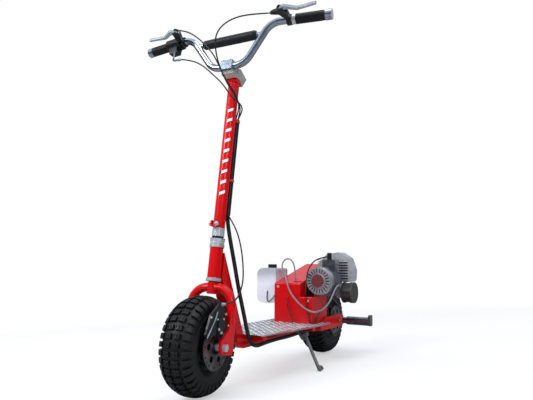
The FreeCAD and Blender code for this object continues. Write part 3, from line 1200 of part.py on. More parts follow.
solidPiece("engine_wires", Part.makeCompound(wires), onFrame)

doc.recompute()
for made, label, seat in pieces:
    made.Placement = seat
doc.recompute()

for thing in doc.Objects:
    if "Invalid" in thing.State or "Error" in thing.State:
        raise RuntimeError("%s is %s" % (thing.Label, thing.State))
os.makedirs("parts", exist_ok=True)
whole = FreeCAD.BoundBox()
for made, label, seat in pieces:
    shape = made.Shape
    if shape.isNull() or not shape.isValid() or not shape.Solids:
        raise RuntimeError(label + " has no valid solid")
    whole.add(shape.BoundBox)
    shape.exportStep("parts/%s.step" % label)
    print("%-18s solids %d  volume %9.0f" % (label, len(shape.Solids), shape.Volume))
print("box", whole)


def report(name, point, way=None):
    place = [round(c / 1000, 6) for c in point]
    axis = [round(c, 6) for c in way] if way else ""
    print("point", name, place, axis)


up = FreeCAD.Vector(0, 0, 1)
left = FreeCAD.Vector(0, 1, 0)
report("steering", onHead.Base, onHead.Rotation.multVec(up))
report("front_wheel", onFrontWheel.Base, onFrontWheel.Rotation.multVec(left))
report("rear_wheel", onRearWheel.Base, onRearWheel.Rotation.multVec(left))
report("side_stand", onFrame.multVec(pivot), onFrame.Rotation.multVec(hinge))
report("foot", onFrame.multVec(foot))
report("deck", onFrame.multVec(FreeCAD.Vector(420, 60, value("deckTop"))), onFrame.Rotation.multVec(up))
for side, word, gripInner, perch in controls:
    seat = gripSeat(side)
    inner, outer = value(gripInner), -value("capOver")
    middle = left * side * -(inner + outer) / 2
    report(word + "_grip", seat.multVec(middle), seat.Rotation.multVec(left * side))
    print("grip", word, inner - outer)
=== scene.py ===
import json
import math

import bmesh
import bpy
from mathutils import Matrix, Vector
from mathutils.bvhtree import BVHTree


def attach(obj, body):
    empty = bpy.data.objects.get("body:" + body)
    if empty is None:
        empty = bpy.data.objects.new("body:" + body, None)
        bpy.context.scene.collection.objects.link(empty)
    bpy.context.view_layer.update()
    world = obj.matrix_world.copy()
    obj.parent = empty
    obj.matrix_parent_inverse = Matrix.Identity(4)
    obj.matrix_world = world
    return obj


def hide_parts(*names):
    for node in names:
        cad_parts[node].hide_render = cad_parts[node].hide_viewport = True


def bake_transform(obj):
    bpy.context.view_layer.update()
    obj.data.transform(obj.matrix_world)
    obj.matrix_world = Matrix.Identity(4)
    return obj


# Petrol stand-up scooter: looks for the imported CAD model.
# Places on the scooter are written in millimetres in one of three local frames, each with
# X forward, Y to the rider's left and Z up: the upright frame (origin in the middle of the
# rear wheel), the steering (Z up its axis, origin level with the front axle) and the front
# wheel (origin in its middle).

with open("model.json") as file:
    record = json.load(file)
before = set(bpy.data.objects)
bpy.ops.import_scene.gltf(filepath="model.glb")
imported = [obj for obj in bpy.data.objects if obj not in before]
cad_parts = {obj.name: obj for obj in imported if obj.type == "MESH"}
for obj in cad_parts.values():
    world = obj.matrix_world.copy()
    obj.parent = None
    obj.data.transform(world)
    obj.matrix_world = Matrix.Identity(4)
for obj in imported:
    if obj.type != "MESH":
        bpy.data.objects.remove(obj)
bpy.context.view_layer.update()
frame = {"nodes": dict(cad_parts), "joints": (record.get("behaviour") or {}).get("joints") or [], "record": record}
nodes = frame["nodes"]
joints = {joint["name"]: joint for joint in frame["joints"]}
mm = 0.001


def axesAt(origin, *axes):
    # Local frame from its origin and its X, Y and Z directions
    matrix = Matrix([[axis[row] for axis in axes] for row in range(3)]).to_4x4()
    matrix.translation = origin
    return matrix


def frameFrom(origin, left, up):
    return axesAt(origin, left.cross(up).normalized(), left.normalized(), up.normalized())


turning = [joints[name] for name in ("steering", "front_wheel_spin", "rear_wheel_spin")]
steerAxis, frontLeft, rearLeft = (Vector(joint["axis"]) for joint in turning)
steerFoot, frontMiddle, rearMiddle = (Vector(joint["pos_m"]) for joint in turning)

onSteer = frameFrom(steerFoot, frontLeft, steerAxis)
onFrontWheel = frameFrom(frontMiddle, frontLeft, steerAxis)
onFrame = frameFrom(rearMiddle, rearLeft, Vector((1, 0, 0)).cross(rearLeft))
local = Matrix.Identity(4)


def at(place, x, y, z):
    # Point in metres from millimetres in a local frame
    return place @ (Vector((x, y, z)) * mm)


def shifted(x, y, z):
    return Matrix.Translation(Vector((x, y, z)) * mm)


# Shader maths as Python expressions


class Value:
    def __init__(self, maker, socket):
        self.maker = maker
        self.socket = socket

    def __add__(self, other):
        return self.maker.maths("ADD", self, other)

    def __sub__(self, other):
        return self.maker.maths("SUBTRACT", self, other)

    def __rsub__(self, other):
        return self.maker.maths("SUBTRACT", other, self)

    def __mul__(self, other):
        return self.maker.maths("MULTIPLY", self, other)

    def __truediv__(self, other):
        return self.maker.maths("DIVIDE", self, other)

    __radd__ = __add__
    __rmul__ = __mul__


class NodeTree:
    # Nodes and maths that materials, the world and the patterns share
    def join(self, value, socket):
        if isinstance(value, Value):
            value = value.socket
        if isinstance(value, bpy.types.NodeSocket):
            self.tree.links.new(value, socket)
        elif socket.type == "RGBA":
            socket.default_value = (*value, 1.0)
        else:
            socket.default_value = value

    def node(self, kind, settings=(), *values, **sockets):
        # Settings first, then sockets in their order or by name
        made = self.tree.nodes.new(kind)
        for name, setting in dict(settings).items():
            setattr(made, name, setting)
        for value, socket in zip(values, made.inputs):
            self.join(value, socket)
        for name, value in sockets.items():
            self.join(value, made.inputs[name.replace("_", " ")])
        return made

    def out(self, kind, settings=(), *values, **sockets):
        # First output of a new node, ready for maths
        return Value(self, self.node(kind, settings, *values, **sockets).outputs[0])

    def maths(self, operation, *values, clamp=False):
        return self.out("ShaderNodeMath", {"operation": operation, "use_clamp": clamp}, *values)

    def clamp(self, value):
        return self.maths("ADD", value, 0.0, clamp=True)


class Finish(NodeTree):
    # One material, or the world, and the nodes that make it
    def __init__(self, name, store=bpy.data.materials, output="Material", place="Object"):
        self.owner = store.new(name)
        self.owner.use_nodes = True
        self.tree = self.owner.node_tree
        self.tree.nodes.clear()
        self.output = self.node("ShaderNodeOutput" + output)
        self.place = self.node("ShaderNodeTexCoord").outputs[place]

    def step(self, value, low, high):
        # Smooth rise from 0 at low to 1 at high
        return self.out("ShaderNodeMapRange", {"interpolation_type": "SMOOTHSTEP"},
                        value, low, high, 0.0, 1.0)

    def noise(self, scale, detail=2.0, rough=0.5):
        return self.out("ShaderNodeTexNoise", Vector=self.place, Scale=scale, Detail=detail,
                        Roughness=rough)

    def height(self):
        # Height of the point, in metres
        return Value(self, self.node("ShaderNodeSeparateXYZ", Vector=self.place).outputs["Z"])

    def measure(self, operation, other):
        made = self.node("ShaderNodeVectorMath", {"operation": operation}, self.place, tuple(other))
        return Value(self, made.outputs["Value"])

    def away(self, point):
        # Distance from a point, in metres
        return self.measure("DISTANCE", point)

    def along(self, origin, way):
        # Distance from a point along a direction, in metres
        return self.measure("DOT_PRODUCT", way) - origin.dot(way)

    def mix(self, factor, first, second):
        made = self.node("ShaderNodeMix", {"data_type": "RGBA"})
        for value, number in ((factor, 0), (first, 6), (second, 7)):
            self.join(value, made.inputs[number])
        return made.outputs[2]

    def bump(self, height, distance, strength):
        return self.out("ShaderNodeBump", Height=height, Distance=distance, Strength=strength)

    def end(self, shader):
        self.join(shader, self.output.inputs[0])
        return self.owner

    def surface(self, **sockets):
        return self.end(self.out("ShaderNodeBsdfPrincipled", **sockets))


def toned(colour, factor, lift=0.0):
    return tuple(min(1.0, channel * factor + lift) for channel in colour)


paintLooks = {
    "red": (0.68, 0.0016, 0.0036),
    "redDeep": (0.46, 0.0015, 0.0030),
    "dust": (0.30, 0.24, 0.20),
    "dustFrom": 0.22,
    "dustFull": 0.04,
    "peel": 900.0,
}


def makeGlossRed():
    # Powder-coated gloss with orange peel, a deeper tone in patches and a little dust low down
    looks = paintLooks
    finish = Finish("glossRed")
    colour = finish.mix(finish.noise(9.0, 3.0), looks["redDeep"], looks["red"])
    low = finish.step(finish.height(), looks["dustFrom"], looks["dustFull"])
    specks = finish.step(finish.noise(420.0, 4.0, 0.7), 0.56, 0.72)
    dust = low * specks * 0.35
    return finish.surface(
        Base_Color=finish.mix(dust, colour, looks["dust"]),
        Roughness=0.16 + 0.10 * finish.noise(60.0, 3.0) + 0.4 * dust,
        Coat_Weight=0.28 - 0.25 * dust,
        Coat_Roughness=0.05,
        Specular_IOR_Level=0.2,
        Normal=finish.bump(finish.noise(looks["peel"]), 0.00006, 0.6),
    )


def makeMetal(name, colour, worn, roughness, grain=600.0, depth=0.00002, metallic=1.0):
    # Bare or plated metal with fine grain, cloudy tone and roughness that varies
    finish = Finish(name)
    clouds = finish.noise(35.0, 4.0, 0.6)
    scratches = finish.noise(grain, 3.0, 0.6)
    return finish.surface(
        Base_Color=finish.mix(finish.step(clouds, 0.35, 0.7), colour, worn),
        Metallic=metallic,
        Roughness=roughness * (0.75 + 0.5 * clouds) + 0.06 * scratches,
        Normal=finish.bump(scratches, depth, 0.5),
    )


def makeCast(name, colour, worn, oily, roughness):
    # Sand-cast alloy: pebbled skin, cloudy tone and oily patches
    finish = Finish(name)
    pebbles = finish.noise(750.0, 4.0, 0.65)
    clouds = finish.noise(28.0, 3.0)
    oil = finish.step(finish.noise(14.0, 5.0, 0.7), 0.60, 0.78)
    cloudy = finish.mix(finish.step(clouds, 0.3, 0.7), colour, worn)
    return finish.surface(
        Base_Color=finish.mix(oil * 0.5, cloudy, oily),
        Metallic=0.85,
        Roughness=roughness + 0.18 * pebbles - 0.12 * oil,
        Normal=finish.bump(pebbles, 0.00016, 0.7),
    )


def makePlastic(name, colour, roughness, grain=1100.0, depth=0.00005):
    # Moulded plastic or plain paint with a fine grain and paler clouds
    finish = Finish(name)
    clouds = finish.noise(24.0, 3.0)
    pale = finish.step(clouds, 0.35, 0.75) * 0.6
    return finish.surface(
        Base_Color=finish.mix(pale, colour, toned(colour, 1.5, 0.004)),
        Roughness=roughness + 0.12 * clouds,
        Normal=finish.bump(finish.noise(grain), depth, 0.5),
    )


def makeRubber(name, colour, dusty=0.0):
    # Matt rubber with bloom; dusty tyres carry pale dirt towards the floor
    finish = Finish(name)
    bloom = finish.noise(30.0, 4.0, 0.6)
    grey = finish.mix(finish.step(bloom, 0.45, 0.75) * 0.5, colour, (0.014, 0.014, 0.014))
    if dusty:
        low = finish.step(finish.height(), 0.10, 0.0) * 0.7 + 0.3
        dirt = finish.step(finish.noise(90.0, 5.0, 0.7), 0.50, 0.75) * low * dusty
        grey = finish.mix(dirt, grey, (0.038, 0.034, 0.030))
    return finish.surface(
        Base_Color=grey,
        Roughness=0.34 + 0.25 * bloom,
        Specular_IOR_Level=0.5,
        Normal=finish.bump(finish.noise(1300.0, 3.0, 0.6), 0.00008, 0.5),
    )


def makeBanded(name, colours, origin, way, band, roughness, metallic):
    # Finish with a band of another colour, roughness and metal between two places along a way
    finish = Finish(name)
    place = finish.along(origin, way)
    soft = 0.3 * mm
    inside = finish.step(place, band[0] - soft, band[0] + soft)
    inside = inside * finish.step(place, band[1] + soft, band[1] - soft)
    clouds = finish.noise(40.0, 3.0)
    worn = finish.mix(clouds * 0.5, colours[0], toned(colours[0], 0.7))
    return finish.surface(
        Base_Color=finish.mix(inside, worn, colours[1]),
        Metallic=metallic[0] + (metallic[1] - metallic[0]) * inside,
        Roughness=roughness[0] + (roughness[1] - roughness[0]) * inside + 0.08 * clouds,
        Normal=finish.bump(finish.noise(500.0, 3.0), 0.00003, 0.5),
    )


starterLooks = {"hub": (231, 88, 159), "discEdge": (25.2, 24.4)}
tankLooks = {"fuelLine": (0.285, 0.277), "emptyFade": (0.295, 0.345)}


def makeStarter():
    # Cast cover with a dull red disc in its middle
    finish = Finish("starterAlloy")
    pebbles = finish.noise(700.0, 4.0, 0.6)
    cover = finish.mix(finish.noise(30.0, 3.0), (0.62, 0.64, 0.68), (0.78, 0.79, 0.81))
    outside, inside = (radius * mm for radius in starterLooks["discEdge"])
    disc = finish.step(finish.away(at(onFrame, *starterLooks["hub"])), outside, inside)
    return finish.surface(
        Base_Color=finish.mix(disc, cover, (0.20, 0.045, 0.05)),
        Metallic=0.9 - 0.5 * disc,
        Roughness=0.26 + 0.14 * pebbles,
        Normal=finish.bump(pebbles, 0.00008, 0.6),
    )


def makeTank():
    # Milky translucent blow-moulded plastic: fuel shows faintly below, the empty top is darker
    finish = Finish("milkyTank")
    wavy = finish.noise(22.0)
    milky = finish.mix(wavy, (0.66, 0.67, 0.74), (0.80, 0.80, 0.87))
    empty = finish.step(finish.height() + 0.02 * wavy, *tankLooks["emptyFade"])
    milky = finish.mix(empty * 0.75, milky, (0.30, 0.32, 0.36))
    fuel = finish.step(finish.height() + 0.004 * wavy, *tankLooks["fuelLine"])
    return finish.surface(
        Base_Color=finish.mix(fuel * 0.3, milky, (0.62, 0.55, 0.66)),
        Roughness=0.22 + 0.1 * wavy,
        Subsurface_Weight=0.35,
        Subsurface_Radius=(0.02, 0.018, 0.016),
        Coat_Weight=0.3,
        Normal=finish.bump(finish.noise(160.0), 0.0002, 0.35),
    )


print("making materials")
zinc = makeMetal("zinc", (0.74, 0.76, 0.79), (0.58, 0.60, 0.62), 0.26, metallic=0.7)
darkSteel = makeMetal("darkSteel", (0.30, 0.29, 0.29), (0.17, 0.155, 0.145), 0.34)
bandRed = makePlastic("bandRed", (0.62, 0.01, 0.01), 0.30)
stripeWhite = makePlastic("stripeWhite", (0.84, 0.84, 0.82), 0.30)

slotLooks = {
    "red_paint": makeGlossRed(),
    "tyre_rubber": makeRubber("tyreRubber", (0.006, 0.006, 0.006), 0.5),
    "rim_black": makeMetal("rimBlack", (0.10, 0.10, 0.105), (0.06, 0.06, 0.06), 0.32),
    "disc_steel": darkSteel,
    "bright_steel": zinc,
    # Silver chrome tinted blue: the tint is a painted reflection of a blue sky
    "chrome": makeMetal("chrome", (0.66, 0.75, 0.84), (0.50, 0.55, 0.62), 0.12,
                        300.0, 0.000004),
    "tread_plate": makeMetal("treadSilver", (0.82, 0.82, 0.82), (0.58, 0.58, 0.57), 0.22,
                             500.0, 0.00003),
    "cast_alloy": makeCast("castAlloy", (0.34, 0.35, 0.38), (0.17, 0.175, 0.19),
                           (0.05, 0.045, 0.04), 0.30),
    "engine_silver": makeMetal("polished", (0.60, 0.60, 0.61), (0.46, 0.46, 0.47), 0.15),
    "black_plastic": makePlastic("blackPlastic", (0.006, 0.006, 0.006), 0.34),
    "black_metal": makePlastic("blackPaint", (0.007, 0.007, 0.008), 0.24, 700.0, 0.00003),
    "stand_steel": makePlastic("standPaint", (0.10, 0.115, 0.11), 0.34),
    "tank_plastic": makeTank(),
    "grip_rubber": makeRubber("gripRubber", (0.005, 0.005, 0.005)),
    "pad_foam": makeRubber("padFoam", (0.005, 0.006, 0.006)),
    "lever_silver": makeMetal("leverSilver", (0.46, 0.52, 0.56), (0.36, 0.39, 0.42), 0.32,
                              metallic=0.6),
    "bracket_grey": makeMetal("bracketGrey", (0.40, 0.385, 0.34), (0.30, 0.285, 0.25), 0.42,
                              metallic=0.35),
    "hose_grey": makePlastic("hoseGrey", (0.20, 0.20, 0.21), 0.22, 300.0, 0.00002),
    "cable_black": makePlastic("cableBlack", (0.010, 0.010, 0.011), 0.30, 500.0, 0.00003),
}

# CAD nodes with a finish of their own, such as a band or a disc that the slot's finish lacks
nodeLooks = {
    "lock_nut": makeBanded("bandedNut", ((0.72, 0.77, 0.83), (0.01, 0.01, 0.01)),
                           steerFoot, steerAxis, (0.2965, 0.3035), (0.20, 0.4), (0.6, 0.0)),
    "air_filter": makeBanded("filterLid", ((0.014, 0.014, 0.015), (0.07, 0.068, 0.058)),
                             rearMiddle, rearLeft, (0.1905, 0.30), (0.36, 0.42), (0.0, 0.3)),
    "recoil_starter": makeStarter(),
    "foot_pegs": makeMetal("pegSteel", (0.34, 0.34, 0.35), (0.20, 0.20, 0.21), 0.22),
    # Silver clamp steel tinted blue: the tint is a painted reflection
    "bar_clamp": makeMetal("clampSteel", (0.50, 0.60, 0.70), (0.36, 0.43, 0.50), 0.30),
    "engine_shroud": makeMetal("shroudAlloy", (0.66, 0.69, 0.72), (0.48, 0.50, 0.53), 0.26,
                               metallic=0.5),
}


def paint(thing, material):
    # The object's only material
    thing.data.materials.clear()
    thing.data.materials.append(material)


for row in frame["record"]["subparts"]:
    name = row["node"]
    paint(nodes[name], nodeLooks.get(name) or slotLooks[row["material_slot"]])


# Mesh helpers, in millimetres of a local frame


def show(name, data):
    thing = bpy.data.objects.new(name, data)
    bpy.context.scene.collection.objects.link(thing)
    return thing


def meshOf(shape, place=local, smooth=40):
    # Mesh of a bmesh in local millimetres, put in its place in metres
    bmesh.ops.remove_doubles(shape, verts=shape.verts, dist=0.001)
    bmesh.ops.recalc_face_normals(shape, faces=shape.faces)
    shape.transform(place @ Matrix.Scale(mm, 4))
    mesh = bpy.data.meshes.new("mesh")
    shape.to_mesh(mesh)
    shape.free()
    if smooth:
        mesh.shade_smooth()
        mesh.set_sharp_from_angle(angle=math.radians(smooth))
    return mesh


def frozen(thing):
    # Plain mesh of an object as its modifiers or its curve leave it
    bpy.context.view_layer.update()
    graph = bpy.context.evaluated_depsgraph_get()
    return bpy.data.meshes.new_from_object(thing.evaluated_get(graph), depsgraph=graph)


def finished(name, data, body, slot, replaced=(), material=None):
    # A finished piece on its body, standing for the CAD nodes it replaces
    data.name = name
    thing = show(name, data)
    paint(thing, material or slotLooks[slot])
    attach(thing, body)
    if replaced:
        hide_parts(*replaced)
    return thing


def spotOn(axis, a, b, along):
    # Point whose place along the axis comes last
    return {"X": (along, a, b), "Y": (a, along, b), "Z": (a, b, along)}[axis]


def skin(shape, rings, closed=False):
    # Faces between rings of corners, closed round to the first ring or with two end faces
    rings = [[shape.verts.new(spot) for spot in ring] for ring in rings]
    pairs = list(zip(rings, rings[1:]))
    if closed:
        pairs.append((rings[-1], rings[0]))
    else:
        shape.faces.new(rings[0])
        shape.faces.new(rings[-1])
    for low, high in pairs:
        for number in range(len(low)):
            shape.faces.new((low[number - 1], low[number], high[number], high[number - 1]))


def ringOf(steps, wide, tall):
    turns = [2 * math.pi * step / steps for step in range(steps)]
    return [(wide * math.cos(turn), tall * math.sin(turn)) for turn in turns]


def lathe(shape, rows, steps, axis="Y", closed=False):
    # Turned form from rows of (radius, place along the axis)
    skin(shape, [[spotOn(axis, a, b, along) for a, b in ringOf(steps, radius, radius)]
                 for radius, along in rows], closed)


def prism(shape, outline, low, high, axis="Y"):
    # Outline of two coordinates pushed along the third
    skin(shape, [[spotOn(axis, a, b, along) for a, b in outline] for along in (low, high)])


def joinShape(shape, made):
    mesh = bpy.data.meshes.new("spare")
    made.to_mesh(mesh)
    made.free()
    shape.from_mesh(mesh)
    bpy.data.meshes.remove(mesh)


# Geometry Nodes trees for what repeats


class Pattern(NodeTree):
    # One tree with named inputs, ending in Realize Instances and Set Material
    def __init__(self, name):
        self.tree = bpy.data.node_groups.new(name, "GeometryNodeTree")
        self.enter = self.node("NodeGroupInput")
        self.host = self.size("Geometry", "Geometry")
        self.finish = self.size("Finish", "Material")

    def size(self, name, kind):
        # Named input of the tree
        self.tree.interface.new_socket(name, in_out="INPUT", socket_type="NodeSocket" + kind)
        return Value(self, self.enter.outputs[name])

    def part(self, name):
        # Geometry of an object given to the tree
        holder = self.node("GeometryNodeObjectInfo", Object=self.size(name, "Object"))
        return holder.outputs["Geometry"]

    def copies(self, spots, part, **sockets):
        return self.out("GeometryNodeInstanceOnPoints", Points=spots, Instance=self.part(part),
                        **sockets)

    def index(self):
        return self.out("GeometryNodeInputIndex")

    def end(self, *geometry):
        joined = self.node("GeometryNodeJoinGeometry")
        for item in geometry:
            self.join(item, joined.inputs[0])
        real = self.out("GeometryNodeRealizeInstances", Geometry=joined.outputs[0])
        done = self.out("GeometryNodeSetMaterial", Geometry=real, Material=self.finish)
        self.tree.interface.new_socket("Geometry", in_out="OUTPUT",
                                       socket_type="NodeSocketGeometry")
        self.join(done, self.node("NodeGroupOutput").inputs[0])
        return self.tree


def makeRoundTree():
    # A part repeated round an axis through the host's origin
    pattern = Pattern("roundAxis")
    count = pattern.size("Count", "Int")
    spots = pattern.out("GeometryNodePoints", Count=count)
    turn = pattern.out("FunctionNodeAxisAngleToRotation", Axis=pattern.size("Axis", "Vector"),
                       Angle=pattern.index() * (2 * math.pi) / count)
    return pattern.end(pattern.host, pattern.copies(spots, "Part", Rotation=turn))


def makeRowTree():
    # A part repeated in a straight row
    pattern = Pattern("straightRow")
    line = pattern.out("GeometryNodeMeshLine", Count=pattern.size("Count", "Int"),
                       Offset=pattern.size("Step", "Vector"))
    return pattern.end(pattern.host, pattern.copies(line, "Part"))


def makeChainTree():
    # Two kinds of link by turns along a closed path
    pattern = Pattern("linksOnPath")
    spots = pattern.out("GeometryNodeResampleCurve", Curve=pattern.part("Path"),
                        Count=pattern.size("Count", "Int"))
    turn = pattern.out("FunctionNodeAlignRotationToVector", {"axis": "X", "pivot_axis": "Y"},
                       Vector=pattern.out("GeometryNodeInputTangent"))
    odd = pattern.maths("MODULO", pattern.index(), 2.0)
    return pattern.end(pattern.copies(spots, "Outer", Selection=odd, Rotation=turn),
                       pattern.copies(spots, "Inner", Selection=1.0 - odd, Rotation=turn))


def makeLozengeTree():
    # Raised bars turned by turns on a plate that narrows ahead of its shoulder
    pattern = Pattern("lozenges")
    pitch, rear, front, shoulder, half, frontHalf, margin, boxFront, boxHalf, level = (
        pattern.size(name, "Float") for name in (
            "Pitch", "Rear", "Front", "Shoulder", "Half Width", "Front Half", "Margin",
            "Box Front", "Box Half", "Level"))
    rows, columns = (pattern.size(name, "Int") for name in ("Rows", "Columns"))
    grid = pattern.out("GeometryNodeMeshGrid", Size_X=(rows - 1.0) * pitch,
                       Size_Y=(columns - 1.0) * pitch, Vertices_X=rows, Vertices_Y=columns)
    middle = pattern.out("ShaderNodeCombineXYZ", X=(rear + front) * 0.5, Y=0.0, Z=level)
    spots = pattern.out("GeometryNodeSetPosition", Geometry=grid, Offset=middle)
    spot = pattern.node("ShaderNodeSeparateXYZ", Vector=pattern.out("GeometryNodeInputPosition"))
    x, y = (Value(pattern, spot.outputs[number]) for number in (0, 1))
    aside = pattern.maths("ABSOLUTE", y)
    taper = pattern.clamp((x - shoulder) / (front - shoulder))
    inside = pattern.maths("LESS_THAN", aside, half - (half - frontHalf) * taper - margin)
    ahead = pattern.maths("GREATER_THAN", x, boxFront + margin)
    beside = pattern.maths("GREATER_THAN", aside, boxHalf + margin)
    column = pattern.maths("MODULO", pattern.index(), columns)
    row = pattern.maths("FLOOR", pattern.index() / columns)
    turn = (pattern.maths("MODULO", row + column, 2.0) - 0.5) * (math.pi / 2)
    angle = pattern.out("FunctionNodeAxisAngleToRotation", Axis=(0, 0, 1), Angle=turn)
    shown = inside * pattern.maths("MAXIMUM", ahead, beside)
    return pattern.end(pattern.copies(spots, "Part", Selection=shown, Rotation=angle))


def makeBoltTree():
    # A bolt on each of the host's points, along its "way" and to its "size"
    pattern = Pattern("boltsOnPoints")
    way, size = (pattern.out("GeometryNodeInputNamedAttribute", {"data_type": kind}, Name=name)
                 for name, kind in (("way", "FLOAT_VECTOR"), ("size", "FLOAT")))
    turn = pattern.out("FunctionNodeAlignRotationToVector", {"axis": "Z"}, Vector=way)
    return pattern.end(pattern.copies(pattern.host, "Part", Rotation=turn, Scale=size))


def grown(name, tree, sizes, parts, place, body, slot, replaced=(), material=None, host=None):
    # Piece that a tree makes: its result on the host mesh, kept as a plain mesh in its place
    base = show(name, host or bpy.data.meshes.new(name))
    modifier = base.modifiers.new(tree.name, "NODES")
    modifier.node_group = tree
    holders = {part: show(name + part, data) for part, data in parts.items()}
    given = {**sizes, **holders, "Finish": material or slotLooks[slot]}
    for socket in tree.interface.items_tree:
        if socket.in_out == "INPUT" and socket.name in given:
            modifier[socket.identifier] = given[socket.name]
    result = frozen(base)
    base.modifiers.remove(modifier)
    for spent in (base, *holders.values()):
        bpy.data.objects.remove(spent)
    result.transform(place)
    return finished(name, result, body, slot, replaced, material)


roundTree = makeRoundTree()
rowTree = makeRowTree()
chainTree = makeChainTree()
lozengeTree = makeLozengeTree()
boltTree = makeBoltTree()

# Cables and hoses: radii, and control points of smooth curves
cordLooks = {"cable": 2.1, "wire": 1.8, "lead": 2.6, "hose": 2.8, "loom": 6.0, "sheath": 8.5,
             "elbow": 3.1, "spring": 1.0}
leverCables = [
    [(89, 150, 955), (119, 120, 939), (149, 90, 919), (168, 62, 896), (180, 42, 865),
     (173, 30, 838), (148, 25, 800), (108, 25, 768), (72, 27, 747), (40, 29, 734), (8, 30, 722),
     (-17, 24, 706), (-22.5, 14.5, 680.3)],
    [(113.5, -149, 943.6), (130, -139, 935), (137, -120, 924), (128.6, -95, 917), (120.5, -60, 890),
     (112.5, -30, 858), (106, -12, 834), (90, 4, 797), (66, 16, 766), (38, 25, 748), (8, 25, 733),
     (-15, 20, 711), (-21.5, 6.5, 680.3)],
    [(87, -150, 859), (77.5, -115, 855), (69, -75, 833), (68, -30, 791), (61.6, 0, 762),
     (47.8, 26, 722), (20, 37, 716), (-10, 34, 712), (-29, 20, 703), (-29, 9.5, 680.3)],
    [(-20, 16, 371), (-12, 38, 347), (-18, 56, 314), (-31, 65, 270), (-37, 71, 228),
     (-30, 79.5, 188), (-17, 83, 156), (4, 85.5, 132), (27, 83, 117), (48, 75, 112)],
]
lowerLoom = [(688, 6.7, 336), (688, 15, 292), (682, 29, 217), (664, 32, 147), (642, 35, 80),
             (632, 43, 24), (619, 46, -14), (585, 47, -28), (540, 48, -24), (470, 50, -21),
             (380, 48, -23), (285, 51, -18), (196.3, 50, -12)]
fuelHose = [(205, -15, 163.5), (205, -17, 196), (205, -24, 226), (206, -42, 242), (212, -60, 236),
            (224, -65, 216), (240, -50, 196), (258, -28, 168), (272, -6.5, 122), (278, 26, 87),
            (280, 64, 60), (275, 94, 49), (262, 119, 58), (245, 140, 83), (226, 148, 118),
            (206, 149, 134), (188, 146, 141), (170.3, 144, 142)]
thinWires = [
    [(257.6, -20, 96), (266, -20, 88), (268, -16, 66), (269, -6, 42), (271, 3, 24),
     (272.3, 7, 14.5), (272.5, 7.6, 6.6)],
    [(227.3, 50, 184), (240, 50, 176), (256, 53, 150), (262, 55, 112), (263, 58, 70),
     (262.3, 66, 36), (263, 70, 18), (263.2, 70.6, 6.6)],
    [(171, 140, 135), (190, 139, 126), (214, 124, 98), (236, 106, 64), (249, 95, 36),
     (254, 88.5, 18), (254.6, 87.6, 6.6)],
]
tankHose = [(250.2, -112, 118), (252, -112, 106), (254, -112, 92), (254, -109, 80), (254, -102, 78),
            (254, -93, 86), (255, -82, 97), (258, -75, 104)]
plugLead = [(152, 92.2, 248), (158, 76, 245), (173, 58, 238), (190, 46, 223), (203, 38, 200),
            (209, 33.2, 172), (207, 33.2, 148), (203, 35, 124.6)]


def cord(place, routes, kind):
    # Curve with one smooth spline for each route
    curve = bpy.data.curves.new("cord", "CURVE")
    curve.dimensions = "3D"
    curve.bevel_depth = cordLooks[kind] * mm
    curve.bevel_resolution = 4
    curve.resolution_u = 10
    curve.use_fill_caps = True
    for points in routes:
        spline = curve.splines.new("NURBS")
        spline.points.add(len(points) - 1)
        for point, spot in zip(spline.points, points):
            point.co = (*at(place, *spot), 1.0)
        spline.order_u = 3
        spline.use_endpoint_u = True
    return curve


print("making cables and hoses")
finished("controlCables", cord(onSteer, leverCables, "cable"), "steering", "cable_black",
         ["control_cables"])
finished("fuelHose", cord(onFrame, [fuelHose], "hose"), "frame", "hose_grey", ["fuel_hose"])
finished("engineWires", cord(onFrame, thinWires, "wire"), "frame", "cable_black", ["engine_wires"])
finished("tankHose", cord(onFrame, [tankHose], "wire"), "frame", "cable_black")
finished("plugLead", cord(onFrame, [plugLead], "lead"), "frame", "cable_black", ["engine_wires"])

loomLooks = {"tops": (396, 372), "bendFrom": (688, 15, 250), "bendTo": (688, 7, 350)}
sheathLooks = {"aside": (-24.3, 10.1), "rib": 2.6, "low": 372.0, "high": 679.2,
               "bands": (479.5, 672.0), "bandWide": 7.0}


def makeLoom():
    # Sheath below the stem, one fixed curve from the stem's sheath down along the frame
    tops = [tuple(onFrame.inverted() @ at(onSteer, *sheathLooks["aside"], height) / mm)
            for height in loomLooks["tops"]]
    curve = show("lowerLoom", cord(onFrame, [tops + lowerLoom], "loom"))
    loom = show("loomLower", frozen(curve))
    bpy.data.objects.remove(curve)
    paint(loom, slotLooks["cable_black"])
    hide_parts("cable_loom_lower")
    at(onFrame, *loomLooks["bendFrom"])
    at(onFrame, *loomLooks["bendTo"])
    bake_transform(loom)


def makeSheath():
    # Split sheath along the stem, ringed like a flexible conduit, and its two red bands
    looks = sheathLooks
    radius = cordLooks["sheath"]
    shift = shifted(*looks["aside"], 0)
    core, ridge, bands = bmesh.new(), bmesh.new(), bmesh.new()
    lathe(core, [(radius - 0.9, looks["low"]), (radius - 0.9, looks["high"])], 24, "Z")
    lathe(ridge, [(radius - 1.2, 0.1), (radius - 0.2, 0.5), (radius, 0.9), (radius, 1.5),
                  (radius - 0.2, 1.9), (radius - 1.2, 2.3)], 24, "Z", closed=True)
    count = int((looks["high"] - looks["low"]) / looks["rib"])
    grown("loomUpper", rowTree, {"Count": count, "Step": (0, 0, looks["rib"] * mm)},
          {"Part": meshOf(ridge, shift @ shifted(0, 0, looks["low"]))}, onSteer,
          "steering", "cable_black", ["cable_loom_upper"], host=meshOf(core, shift))
    half = looks["bandWide"] / 2
    for middle in looks["bands"]:
        lathe(bands, [(radius - 0.5, middle - half), (radius + 1.0, middle - half + 0.6),
                      (radius + 1.3, middle), (radius + 1.0, middle + half - 0.6),
                      (radius - 0.5, middle + half)], 28, "Z", closed=True)
    finished("loomBands", meshOf(bands, onSteer @ shift), "steering", "red_paint", material=bandRed)


makeLoom()
makeSheath()

